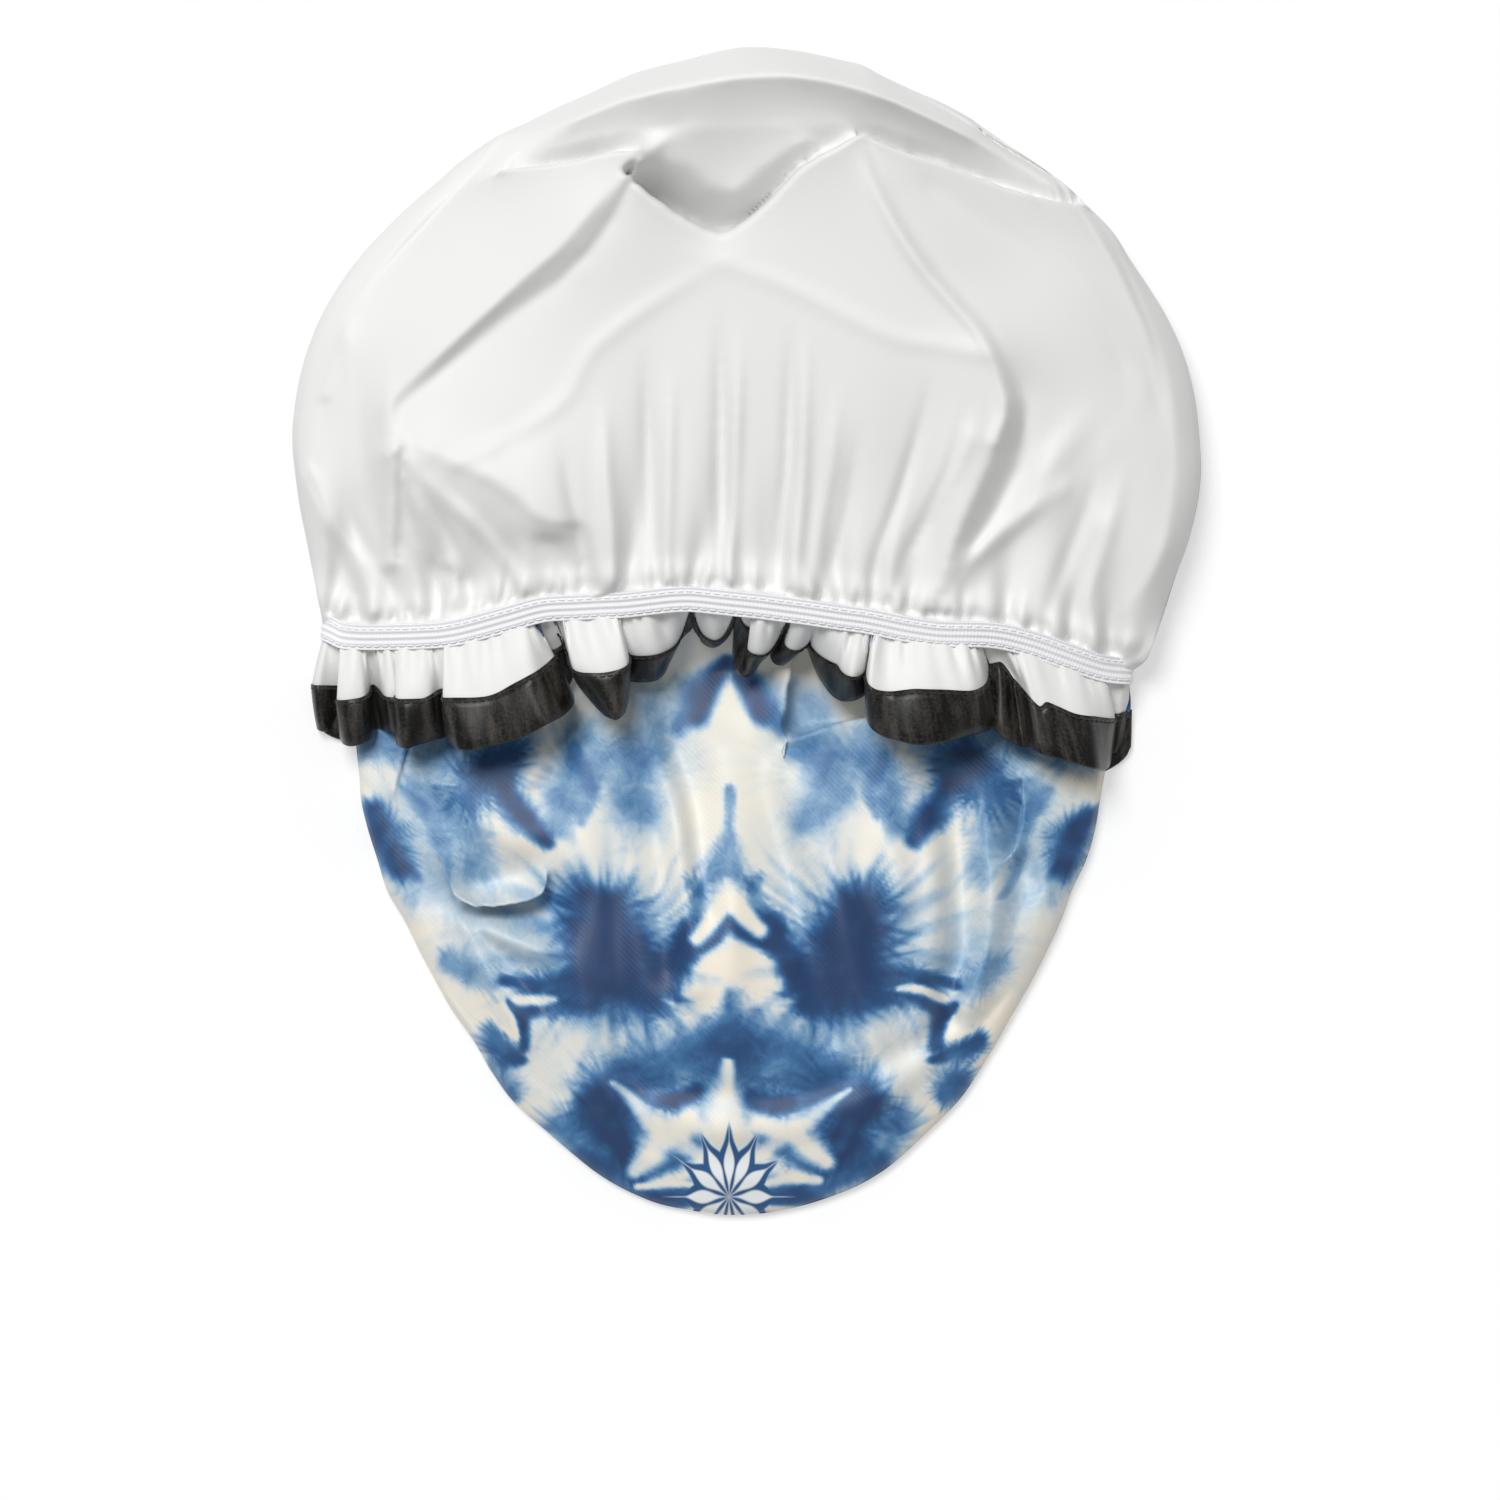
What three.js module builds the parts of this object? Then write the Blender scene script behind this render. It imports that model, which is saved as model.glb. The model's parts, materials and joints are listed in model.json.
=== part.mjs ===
// A double layer shower cap, laid flat on a table with its waterproof liner pulled out of the satin bag.
// The two bags share one mouth, the elastic ring. The liner lies on the +Y side of the ring and the satin
// bag on the -Y side. Outside the ring both layers run on as a frill, which is folded back over the satin.
// Millimetres. +X goes across the cap, +Z up from the table. The origin is under the middle of the cap.
import * as THREE from "three";

// The liner bag as it lies
const liner_width = 300;
const liner_length = 190;
const liner_loft = 70;
const liner_side_height = 15;
const gather_height = 2.4;

// The satin bag as it lies
const outer_width = 246;
const outer_length = 196;
const outer_loft = 27;
const outer_side_height = 8;
const outer_shift = -5.6;
const outer_end_inset = 9;

// The elastic ring as it lies: its middle is shifted from the liner's, and it bows along its length
const ring_width = 269;
const ring_loft = 45;
const ring_side_height = 10;
const ring_shift = -6;
const ring_bow = 20;
const elastic_width = 8.8;
const elastic_thickness = 1.2;

// The frill
const frill_depth = 33;
const frill_arch = 1.6;
const lobe_height = 5;
const back_wave_height = 1.6;
const binding_depth = 16.2;
const binding_tip = 0.9;

// Cloth, film, ribbon and thread
const film_thickness = 0.25;
const satin_thickness = 0.3;
const ribbon_thickness = 0.3;
const thread_diameter = 0.4;
const ply_gap = 0.3;
const elastic_inset = 1.6;
const binding_inset = 1.2;
const seat_margin = 0.5;
const frill_clearance = 4;

// Samples: along the front of the ring, along its back, and from the ring to the end of each bag
const front_steps = 72;
const back_steps = 16;
const liner_rows = 15;
const outer_rows = 10;
const fold_cells = 80;
const fold_rounds = 400;
const fold_easing = 8;
const hem_easing = 2;

// Distances along the cloth's normal, worked out from the thicknesses
const film_depth = ply_gap + film_thickness / 2;
const ply_pitch = film_thickness / 2 + ply_gap + satin_thickness / 2;
const turn_pitch = satin_thickness + 2 * ply_gap;
const leaf_front = film_thickness / 2 + ply_gap + ribbon_thickness / 2;
const leaf_back = ply_pitch + satin_thickness / 2 + ply_gap + ribbon_thickness / 2;
const thread_lift = ply_gap + thread_diameter / 2;
const ring_floor = elastic_thickness + ply_gap + thread_diameter + ply_gap;
const frill_floor = leaf_front + ribbon_thickness / 2 + ply_gap + thread_diameter + ply_gap;
const seat_half = elastic_width / 2 + seat_margin;

// Outlines of the bags, as shares of half the bag's width and of its length, from the ring to the far end
const liner_left_shares = [
  [-0.977, 0.14],
  [-1.0, 0.314],
  [-0.968, 0.471],
  [-0.858, 0.628],
  [-0.675, 0.768],
  [-0.476, 0.873],
  [-0.254, 0.951],
  [0.004, 1.0],
];
const liner_right_shares = [
  [0.957, 0.07],
  [1.0, 0.262],
  [0.981, 0.419],
  [0.893, 0.576],
  [0.743, 0.733],
  [0.527, 0.86],
  [0.295, 0.951],
  [0.004, 1.0],
];
const outer_left_shares = [
  [-1.01, 0.202],
  [-0.995, 0.303],
  [-0.925, 0.455],
  [-0.792, 0.607],
  [-0.647, 0.759],
  [-0.496, 0.86],
  [-0.278, 0.961],
  [0, 1.0],
];
const outer_right_shares = [
  [1.0, 0.202],
  [0.987, 0.354],
  [0.922, 0.455],
  [0.817, 0.607],
  [0.671, 0.759],
  [0.534, 0.86],
  [0.321, 0.961],
  [0, 1.0],
];

// How far the ring bows to +Y, as shares of ring_bow, at places from its left end (0) to its right end (1)
const bow_shares = [
  [0, -0.2],
  [0.145, -0.2],
  [0.22, -0.08],
  [0.29, 0.17],
  [0.34, 0.25],
  [0.45, 0.33],
  [0.54, 0.28],
  [0.64, 0.05],
  [0.71, -0.28],
  [0.8, -0.41],
  [0.86, -0.46],
  [0.91, -0.66],
  [0.957, -0.86],
  [1, -0.86],
];

// The main folds of each bag's upper side, each a line of places as shares of half the bag's width and of its
// length, with the cloth's height there as a share of its loft. A sharp fold has its foot beside it.
const liner_fold_shares = [
  [[-0.79, 0.37, 0.8], [-0.61, 0.51, 0.9], [-0.41, 0.65, 0.87], [-0.24, 0.81, 0.91]],
  [[-0.77, 0.36, 0.8], [-0.59, 0.49, 0.89], [-0.39, 0.62, 0.71], [-0.31, 0.7, 0.76], [-0.22, 0.8, 0.89]],
  [[-0.54, 0.78, 0.75], [-0.37, 0.8, 0.8], [-0.24, 0.82, 0.91]],
  [[-0.55, 0.81, 0.73], [-0.52, 0.81, 0.67], [-0.42, 0.82, 0.64], [-0.24, 0.84, 0.77]],
  [[-0.27, 0.78, 0.9], [-0.06, 0.68, 0.83]],
  [[-0.25, 0.8, 0.87], [-0.05, 0.7, 0.5]],
  [[-0.05, 0.68, 0.83], [0.11, 0.79, 0.93], [0.24, 0.85, 0.99]],
  [[-0.06, 0.7, 0.49], [0.13, 0.83, 0.61], [0.23, 0.87, 0.79]],
  [[0.24, 0.85, 0.99], [0.59, 0.75, 0.76], [0.69, 0.73, 0.63], [0.75, 0.72, 0.49]],
  [[0.25, 0.87, 0.81], [0.6, 0.77, 0.6], [0.75, 0.75, 0.43]],
  [
    [0.25, 0.84, 0.99], [0.32, 0.7, 0.99], [0.53, 0.48, 0.96], [0.57, 0.38, 0.96], [0.51, 0.22, 0.86],
    [0.4, 0.02, 0.63],
  ],
  [
    [0.28, 0.85, 0.96], [0.34, 0.71, 0.86], [0.46, 0.58, 0.77], [0.56, 0.49, 0.76], [0.6, 0.38, 0.72],
    [0.5, 0.16, 0.78], [0.43, 0.01, 0.53],
  ],
  [[-0.71, 0.3, 0.9], [-0.56, 0.25, 0.88], [-0.47, 0.18, 0.83], [-0.35, 0.16, 0.79], [-0.32, 0.04, 0.66]],
  [
    [-0.72, 0.28, 0.9], [-0.58, 0.23, 0.9], [-0.48, 0.17, 0.78], [-0.38, 0.15, 0.64], [-0.35, 0.04, 0.63],
  ],
  [[-0.77, 0.3, 0.9], [-0.71, 0.2, 0.9], [-0.61, 0.02, 0.9]],
  [[-0.8, 0.28, 0.9], [-0.76, 0.23, 0.9], [-0.72, 0.14, 0.9], [-0.67, 0.07, 0.9]],
  [
    [-0.54, 0.85, 0.4], [-0.58, 0.79, 0.58], [-0.64, 0.74, 0.61], [-0.9, 0.51, 0.89], [-0.95, 0.34, 0.8],
    [-0.96, 0.26, 0.9],
  ],
  [
    [0.75, 0.72, 0.49], [0.81, 0.67, 0.59], [0.86, 0.57, 0.89], [0.93, 0.42, 0.8], [0.94, 0.33, 0.9],
    [0.94, 0.19, 0.9], [0.92, 0.13, 0.9], [0.89, 0.07, 0.9], [0.74, -0.04, 0.39],
  ],
  [
    [-0.54, 0.85, 0.35], [-0.48, 0.84, 0.57], [-0.28, 0.9, 0.74], [-0.01, 0.95, 0.83], [0.25, 0.93, 0.79],
    [0.52, 0.83, 0.65], [0.6, 0.79, 0.66], [0.75, 0.72, 0.44],
  ],
  [
    [-0.51, 0.81, 0.62], [-0.41, 0.82, 0.61], [-0.14, 0.86, 0.71], [0.21, 0.86, 0.73], [0.38, 0.83, 0.73],
    [0.65, 0.75, 0.59],
  ],
  [[-0.18, 0.82, 0.8], [-0.02, 0.74, 0.59], [0.15, 0.83, 0.69]],
  [[-0.08, 0.63, 0.99], [-0.33, 0.47, 0.94], [-0.4, 0.39, 0.91], [-0.53, 0.32, 0.91]],
  [[-0.08, 0.63, 0.99], [0.31, 0.5, 1], [0.53, 0.47, 0.95]],
  [[-0.89, 0.51, 0.89], [-0.82, 0.18, 0.9], [-0.79, 0.11, 0.9]],
  [[-0.77, 0.3, 0.9], [-0.61, 0.18, 0.9], [-0.53, 0.12, 0.78], [-0.52, 0.04, 0.57]],
  [[-0.44, 0.16, 0.78], [-0.4, 0.1, 0.78], [-0.36, 0.04, 0.59]],
  [[0.59, 0.37, 0.74], [0.61, 0.31, 0.9], [0.59, 0.24, 0.9], [0.48, 0.11, 0.78], [0.42, 0.02, 0.53]],
  [[0.32, 0.75, 0.86], [0.44, 0.61, 0.77], [0.56, 0.47, 0.75]],
  [[0.87, 0.41, 0.8], [0.71, 0.2, 0.9], [0.7, 0.06, 0.9], [0.64, -0.02, 0.46]],
  [[0.41, 0.76, 0.86], [0.6, 0.66, 0.89], [0.76, 0.57, 0.89], [0.84, 0.43, 0.8]],
];
const outer_fold_shares = [
  [[-0.26, 0.11, 0.63], [-0.14, 0.35, 0.96], [-0.09, 0.51, 0.93]],
  [[-0.23, 0.1, 0.56], [-0.12, 0.3, 0.78], [-0.06, 0.51, 0.89]],
  [[0.19, 0.04, 0.67], [0.14, 0.23, 0.83]],
  [[0.23, 0.05, 0.48], [0.2, 0.15, 0.44], [0.18, 0.23, 0.67]],
  [[0.14, 0.23, 0.89], [0.22, 0.18, 0.89], [0.37, 0.16, 0.81]],
  [[0.11, 0.23, 0.8], [0.17, 0.17, 0.5], [0.36, 0.14, 0.52]],
  [[0.14, 0.23, 0.89], [0.19, 0.37, 1], [0.27, 0.54, 0.94]],
  [[0.11, 0.23, 0.81], [0.23, 0.55, 0.93]],
  [[-0.78, 0.41, 0.74], [-0.74, 0.47, 0.81], [-0.69, 0.49, 0.85], [-0.53, 0.48, 0.91], [-0.48, 0.44, 0.93]],
  [
    [-0.81, 0.42, 0.7], [-0.77, 0.48, 0.65], [-0.69, 0.51, 0.59], [-0.52, 0.5, 0.65], [-0.47, 0.48, 0.7],
    [-0.44, 0.45, 0.78],
  ],
  [[0.78, 0.28, 0.67], [0.77, 0.36, 0.72], [0.74, 0.4, 0.76]],
  [[0.74, 0.28, 0.56], [0.74, 0.36, 0.56], [0.71, 0.39, 0.72]],
  [
    [-0.75, 0.64, 0.48], [-0.62, 0.74, 0.5], [-0.45, 0.81, 0.48], [-0.24, 0.89, 0.46], [0, 0.94, 0.44],
    [0.22, 0.91, 0.46], [0.43, 0.84, 0.48], [0.74, 0.64, 0.48],
  ],
  [[-0.83, 0.24, 0.56], [-0.7, 0.25, 0.7], [-0.56, 0.3, 0.8]],
  [[-0.7, 0.46, 0.65], [-0.54, 0.42, 0.69]],
  [[-0.79, 0.37, 0.67], [-0.86, 0.3, 0.56], [-0.89, 0.39, 0.48]],
  [[-0.39, 0.22, 0.83], [-0.35, 0.47, 0.96], [-0.32, 0.61, 0.89]],
  [[-0.04, 0.2, 0.81], [0, 0.42, 1], [0, 0.56, 0.96], [0, 0.73, 0.74]],
  [[0.24, 0.12, 0.52], [0.33, 0.12, 0.54]],
  [[0.3, 0.3, 0.94], [0.41, 0.37, 0.98], [0.46, 0.47, 0.96]],
  [[0.77, 0.42, 0.63], [0.84, 0.45, 0.59]],
  [[0.89, 0.3, 0.56], [0.8, 0.56, 0.44]],
  [[-0.93, 0.3, 0.41], [-0.9, 0.39, 0.44], [-0.78, 0.56, 0.44]],
  [[-0.94, 0.14, 0.41], [-0.78, 0.14, 0.52], [-0.45, 0.12, 0.57]],
  [[-0.35, 0.12, 0.56], [-0.18, 0.08, 0.56], [0.08, 0.08, 0.57]],
  [[0.24, 0.07, 0.48], [0.73, 0.15, 0.63], [0.98, 0.22, 0.44]],
];

// The frill's hem over the front: place across the ring, how far it reaches in plan as a share of the
// frill's depth, and its lift off the satin as a share of the lobes' height
const hem_shares = [
  [0, 0.84, 0],
  [0.02, 0.55, 0],
  [0.034, 0.98, 1],
  [0.061, 0.8, 0],
  [0.08, 0.88, 1],
  [0.091, 0.83, 0.3],
  [0.112, 0.98, 1],
  [0.145, 0.9, 0],
  [0.172, 0.98, 1],
  [0.219, 0.99, 1],
  [0.268, 0.96, 1],
  [0.305, 0.84, 1],
  [0.317, 0.69, 0],
  [0.355, 0.92, 1],
  [0.381, 0.7, 0],
  [0.406, 0.66, 1],
  [0.453, 0.42, 0],
  [0.48, 0.46, 1],
  [0.502, 0.42, 0],
  [0.52, 0.59, 1],
  [0.545, 0.39, 0],
  [0.566, 0.44, 1],
  [0.595, 0.38, 0],
  [0.637, 0.68, 1],
  [0.664, 0.53, 0],
  [0.686, 0.82, 1],
  [0.711, 0.88, 1],
  [0.772, 0.84, 1],
  [0.819, 0.69, 1],
  [0.828, 0.62, 0],
  [0.846, 0.77, 1],
  [0.883, 0.85, 1],
  [0.92, 0.84, 1],
  [0.963, 0.82, 1],
  [0.969, 0.57, 0],
  [0.984, 0.67, 0.5],
  [1, 0.55, 0],
];

// Powers that round the rims and ends, where each bag has left the ring's own line, and counts of waves
const liner_rim_power = 0.2;
const outer_rim_power = 0.4;
const ring_rim_power = 0.6;
const back_rim_power = 0.3;
const flat_back_share = 1.7;
const over_frill_share = 1.3;
const past_frill_share = 2.2;
const back_reach_share = 0.97;
const row_ease_share = 0.5;
const place_ease_share = 0.3;
const liner_lead_share = 0.12;
const outer_lead_share = 0.035;
const bow_lead_share = 0.4;
const gather_lead_share = 0.22;
const far_end_power = 3;
const frill_end_power = 12;
const gather_count = 15;
const back_wave_count = 5;
const band_lean_share = 0.3;

const clamp = THREE.MathUtils.clamp;
const mix = THREE.MathUtils.lerp;
const smooth = (value, low, high) => THREE.MathUtils.smoothstep(value, low, high);

// The second column of a table at a place in its first column, straight between its rows
function readTable(table, place, column = 1) {
  const last = table[table.length - 1];
  if (place <= table[0][0]) return table[0][column];
  if (place >= last[0]) return last[column];
  const next = table.findIndex((row) => row[0] > place);
  const [from, to] = [table[next - 1], table[next]];
  return mix(from[column], to[column], (place - from[0]) / (to[0] - from[0]));
}

// The places round the ring: over the front from the left end to the right, then back below it
function ringPlaces() {
  const places = [];
  for (let step = 0; step < front_steps; step++) {
    const part = step / front_steps;
    const eased = (1 - Math.cos(Math.PI * part)) / 2;
    places.push({ across: mix(part, eased, place_ease_share), back: false });
  }
  for (let step = 0; step < back_steps; step++) {
    const part = step / back_steps;
    places.push({ across: (1 + Math.cos(Math.PI * part)) / 2, back: true });
  }
  return places;
}
const places = ringPlaces();

// The middle of the ring's inner face, where the film lies against the elastic
function ringSpot({ across, back }) {
  const rim = Math.pow(4 * across * (1 - across), back ? back_rim_power : ring_rim_power);
  const far = back ? ring_floor : ring_loft;
  return new THREE.Vector3(
    ring_shift + ring_width * (across - 1 / 2),
    ring_bow * readTable(bow_shares, across),
    mix(ring_side_height, far, rim),
  );
}

// The ring's frame at each place: along it, across the elastic's width and out of the cap
const ring = places.map((place, index) => {
  const before = ringSpot(places[(index + places.length - 1) % places.length]);
  const after = ringSpot(places[(index + 1) % places.length]);
  const spot = ringSpot(place);
  const along = after.sub(before).normalize();
  const lean = place.back ? 0 : band_lean_share * 4 * place.across * (1 - place.across);
  const width = new THREE.Vector3(0, 1, lean);
  width.addScaledVector(along, -width.dot(along)).normalize();
  const out = new THREE.Vector3().crossVectors(along, width);
  return { ...place, spot, along, width, out };
});

// A point of the ring's frame: so far across the elastic's width and so far out
const ringPoint = (frame, across_width, outwards) =>
  frame.spot.clone().addScaledVector(frame.width, across_width).addScaledVector(frame.out, outwards);

// A reader of the height of a bag's upper side over its plan: the cloth is held on its folds and drawn tight
// between them like a skin, and then its folds are eased, so that none is narrower than the rows of points
function drawnTight(bag) {
  const cell = bag.width / fold_cells;
  const rows = Math.ceil(bag.length / cell) + 1;
  const columns = fold_cells + 1;
  const held = new Map();
  for (const fold of bag.folds) {
    for (let index = 1; index < fold.length; index++) {
      const [from, to] = [fold[index - 1], fold[index]].map((share) => bag.cloth(share));
      const steps = Math.ceil((2 * from.distanceTo(to)) / cell);
      for (let step = 0; step <= steps; step++) {
        const spot = from.clone().lerp(to, step / steps);
        const column = clamp(Math.round((spot.x - bag.shift) / cell + fold_cells / 2), 0, columns - 1);
        const row = clamp(Math.round((bag.towards * spot.y) / cell), 0, rows - 1);
        held.set(row * columns + column, spot.z);
      }
    }
  }
  const heights = new Array(rows * columns).fill(bag.loft / 2);
  for (const [place, height] of held) heights[place] = height;
  const at = (row, column) => heights[clamp(row, 0, rows - 1) * columns + clamp(column, 0, columns - 1)];
  const around = (row, column) =>
    (at(row - 1, column) + at(row + 1, column) + at(row, column - 1) + at(row, column + 1)) / 4;
  for (let round = 0; round < fold_rounds + fold_easing; round++) {
    const eased = round >= fold_rounds;
    for (let row = 0; row < rows; row++) {
      for (let column = 0; column < columns; column++) {
        const place = row * columns + column;
        if (eased) heights[place] = mix(heights[place], around(row, column), 1 / 2);
        else if (!held.has(place)) heights[place] = around(row, column);
      }
    }
  }
  return (x, y) => {
    const [across, along] = [(x - bag.shift) / cell + fold_cells / 2, (bag.towards * y) / cell];
    const [column, row] = [Math.floor(across), Math.floor(along)];
    const near = mix(at(row, column), at(row, column + 1), across - column);
    const far = mix(at(row + 1, column), at(row + 1, column + 1), across - column);
    return mix(near, far, along - row);
  };
}

// A bag: its outline on each side runs from the ring's end to the bag's far end
function makeBag(sizes) {
  const bag = { ...sizes };
  bag.place = ([x_share, y_share]) =>
    new THREE.Vector2(bag.shift + (x_share * bag.width) / 2, bag.towards * y_share * bag.length);
  const side = (shares, end) =>
    new THREE.CatmullRomCurve3(
      [end, ...shares.map(bag.place)].map((point) => new THREE.Vector3(point.x, point.y, 0)),
    );
  const inwards = new THREE.Vector3(sizes.end_inset, 0, 0);
  bag.left = side(sizes.left_shares, ring[0].spot.clone().add(inwards));
  bag.right = side(sizes.right_shares, ring[front_steps].spot.clone().sub(inwards));
  bag.cloth = ([x_share, y_share, height_share]) => {
    const spot = bag.place([x_share, y_share]);
    return new THREE.Vector3(spot.x, spot.y, height_share * bag.loft);
  };
  bag.top = drawnTight(bag);
  // The middle of the bag's wall at a place of the ring and a share of the way to the far end
  bag.wall = ({ across, back }, along) => {
    const [start, stop] = [bag.left.getPointAt(along), bag.right.getPointAt(along)];
    const spot = start.lerp(stop, across);
    const rim = Math.pow(4 * across * (1 - across), sizes.rim_power) * Math.sqrt(1 - along ** far_end_power);
    if (back) spot.z = bag.floor + (bag.side_height - bag.floor) * (1 - Math.min(1, flat_back_share * rim));
    else spot.z = mix(bag.side_height, bag.top(spot.x, spot.y), rim);
    return spot;
  };
  return bag;
}

const liner = makeBag({
  width: liner_width,
  length: liner_length,
  loft: liner_loft,
  side_height: liner_side_height,
  shift: 0,
  towards: 1,
  floor: film_thickness / 2,
  end_inset: 0,
  rim_power: liner_rim_power,
  left_shares: liner_left_shares,
  right_shares: liner_right_shares,
  folds: liner_fold_shares,
});
const outer = makeBag({
  width: outer_width,
  length: outer_length,
  loft: outer_loft,
  side_height: outer_side_height,
  shift: outer_shift,
  towards: -1,
  floor: satin_thickness / 2,
  end_inset: outer_end_inset,
  rim_power: outer_rim_power,
  left_shares: outer_left_shares,
  right_shares: outer_right_shares,
  folds: outer_fold_shares,
});

// One row of a bag, which leaves the ring's line smoothly: lead is the row of points where it starts. It
// takes its own width and height within lead_share of the way, and loses the ring's bow more slowly.
function bagRow(bag, along, lead, lead_share) {
  const hold = 1 - smooth(along, 0, lead_share);
  const bow_hold = 1 - smooth(along, 0, bow_lead_share);
  return ring.map((frame, index) => {
    const start = lead[index].clone().sub(bag.wall(frame, 0));
    const shift = new THREE.Vector3(start.x * hold, start.y * bow_hold, start.z * hold);
    return bag.wall(frame, along).add(shift);
  });
}

// The shares of the way at which a bag has its rows, closer together next to the ring and at the far end
function rowShares(count, first_share) {
  const shares = [first_share];
  for (let row = 1; row < count; row++) {
    const part = row / count;
    shares.push(mix(part, (1 - Math.cos(Math.PI * part)) / 2, row_ease_share));
  }
  return shares;
}

// How high the satin's upper side lies under a point of the frill
function satinTop(spot) {
  const along = clamp(-spot.y / outer_length, 0, 1);
  const [start, stop] = [outer.left.getPointAt(along), outer.right.getPointAt(along)];
  const across = clamp((spot.x - start.x) / (stop.x - start.x), 0, 1);
  const rim = Math.pow(4 * across * (1 - across), outer_rim_power);
  return mix(outer_side_height, outer.top(spot.x, spot.y), rim);
}

// The frill's hem at a place of the ring, before it is laid on what is under it
function hemSpot(frame, base) {
  const hem = base.clone();
  if (frame.back) {
    const end_share = Math.abs(2 * frame.across - 1) ** frill_end_power;
    const edge = frame.across < 1 / 2 ? 0 : 1;
    hem.y -= frill_depth * mix(back_reach_share, readTable(hem_shares, edge), end_share);
    const wave = (1 - Math.cos(2 * Math.PI * back_wave_count * frame.across)) / 2;
    hem.z = frill_floor + back_wave_height * wave;
    hem.z = mix(hem.z, Math.max(frill_floor, base.z - ring_side_height / 2), end_share);
    return hem;
  }
  const reach = readTable(hem_shares, frame.across);
  const lift = readTable(hem_shares, frame.across, 2);
  const drop = frill_depth * Math.sqrt(Math.max(0, 1 - reach ** 2));
  const end_share = Math.abs(2 * frame.across - 1) ** frill_end_power;
  hem.y -= frill_depth * reach;
  hem.z = Math.max(base.z - drop, satinTop(hem) + frill_clearance) + lobe_height * lift;
  hem.z = mix(hem.z, Math.max(frill_floor, base.z - ring_side_height / 2), end_share);
  return hem;
}

// The film in the frill: rows from the elastic's lower edge to the film's own edge inside the binding
const border_share = (frill_depth - binding_depth) / frill_depth;
const edge_share = (frill_depth - binding_tip) / frill_depth;
const frill_shares = [border_share / 2, border_share, (border_share + edge_share) / 2, edge_share];

// A row of points with each drawn towards its neighbours, so that a fold is no tighter than the plies allow
function easedRow(row) {
  const count = row.length;
  return row.map((spot, index) => {
    const around = row[(index + 1) % count].clone().add(row[(index + count - 1) % count]);
    return around.divideScalar(2).lerp(spot, 1 / 2);
  });
}

const frill_bases = ring.map((frame) => ringPoint(frame, -seat_half, -film_depth));
let frill_hems = ring.map((frame, index) => hemSpot(frame, frill_bases[index]));
for (let pass = 0; pass < hem_easing; pass++) frill_hems = easedRow(frill_hems);

function frillRow(share) {
  return ring.map((frame, index) => {
    const spot = frill_bases[index].clone().lerp(frill_hems[index], share);
    if (frame.back) spot.z = Math.max(spot.z, frill_floor);
    else spot.z += frill_arch * Math.sin(Math.PI * share);
    return spot;
  });
}

// A grid of rows of points, each row once round the ring, with the normals that face out of the cloth
function normalsOf(rows) {
  const count = ring.length;
  return rows.map((row, level) =>
    row.map((spot, index) => {
      const round = row[(index + 1) % count].clone().sub(row[(index + count - 1) % count]);
      const above = rows[Math.max(level - 1, 0)][index];
      const below = rows[Math.min(level + 1, rows.length - 1)][index];
      return new THREE.Vector3().crossVectors(round, above.clone().sub(below)).normalize();
    }),
  );
}

const shifted = (row, normals, distance) =>
  row.map((spot, index) => spot.clone().addScaledVector(normals[index], distance));

// A closed body from loops of points round the ring. Closed at the poles where first and last are points,
// and closed on itself where they aren't given.
function bodyOf(loops, first_pole, last_pole) {
  const count = ring.length;
  const positions = loops.flat().flatMap((spot) => spot.toArray());
  const faces = [];
  const at = (level, index) => (level % loops.length) * count + (index % count);
  const height = (vertex) => positions[vertex * 3 + 2];
  const levels = first_pole ? loops.length - 1 : loops.length;
  for (let level = 0; level < levels; level++) {
    for (let index = 0; index < count; index++) {
      const [a, b] = [at(level, index), at(level, index + 1)];
      const [c, d] = [at(level + 1, index), at(level + 1, index + 1)];
      // Plies that lie on each other are split along the same diagonal, the higher one
      if (height(a) + height(d) > height(b) + height(c)) faces.push(a, c, d, a, d, b);
      else faces.push(a, c, b, b, c, d);
    }
  }
  if (first_pole) {
    const first = positions.length / 3;
    positions.push(...first_pole.toArray(), ...last_pole.toArray());
    for (let index = 0; index < count; index++) {
      faces.push(first, at(0, index), at(0, index + 1));
      faces.push(first + 1, at(loops.length - 1, index + 1), at(loops.length - 1, index));
    }
  }
  const geometry = new THREE.BufferGeometry();
  geometry.setAttribute("position", new THREE.Float32BufferAttribute(positions, 3));
  geometry.setIndex(faces);
  geometry.computeVertexNormals();
  return geometry;
}

// A sheet with a thickness: over one face from the far end to the hem, and back over its other face
function sheetOf(rows, normals, pole, pole_normal, thickness) {
  const half = thickness / 2;
  const one_face = rows.map((row, level) => shifted(row, normals[level], half));
  const other_face = rows.map((row, level) => shifted(row, normals[level], -half)).reverse();
  const one_pole = pole.clone().addScaledVector(pole_normal, half);
  const other_pole = pole.clone().addScaledVector(pole_normal, -half);
  return bodyOf([...one_face, ...other_face], one_pole, other_pole);
}

// The liner: the bag, the seat under the elastic and the frill's white face, all one film
const film_seat = [seat_half, -seat_half].map((across) =>
  ring.map((frame) => ringPoint(frame, across, -film_depth)),
);
const liner_bag_rows = rowShares(liner_rows, liner_lead_share / 6)
  .map((along) => {
    const row = bagRow(liner, along, film_seat[0], liner_lead_share);
    const gathered = smooth(along, 0, gather_lead_share / 4) * (1 - smooth(along, 0, gather_lead_share));
    return row.map((spot, index) => {
      const { across, back } = ring[index];
      if (!back) spot.z += gather_height * gathered * Math.sin(2 * Math.PI * gather_count * across);
      return spot;
    });
  })
  .reverse();
const film_rows = [...liner_bag_rows, ...film_seat, ...frill_shares.map(frillRow)];
const film_normals = normalsOf(film_rows);
const liner_end = liner.wall(ring[0], 1);

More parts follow.
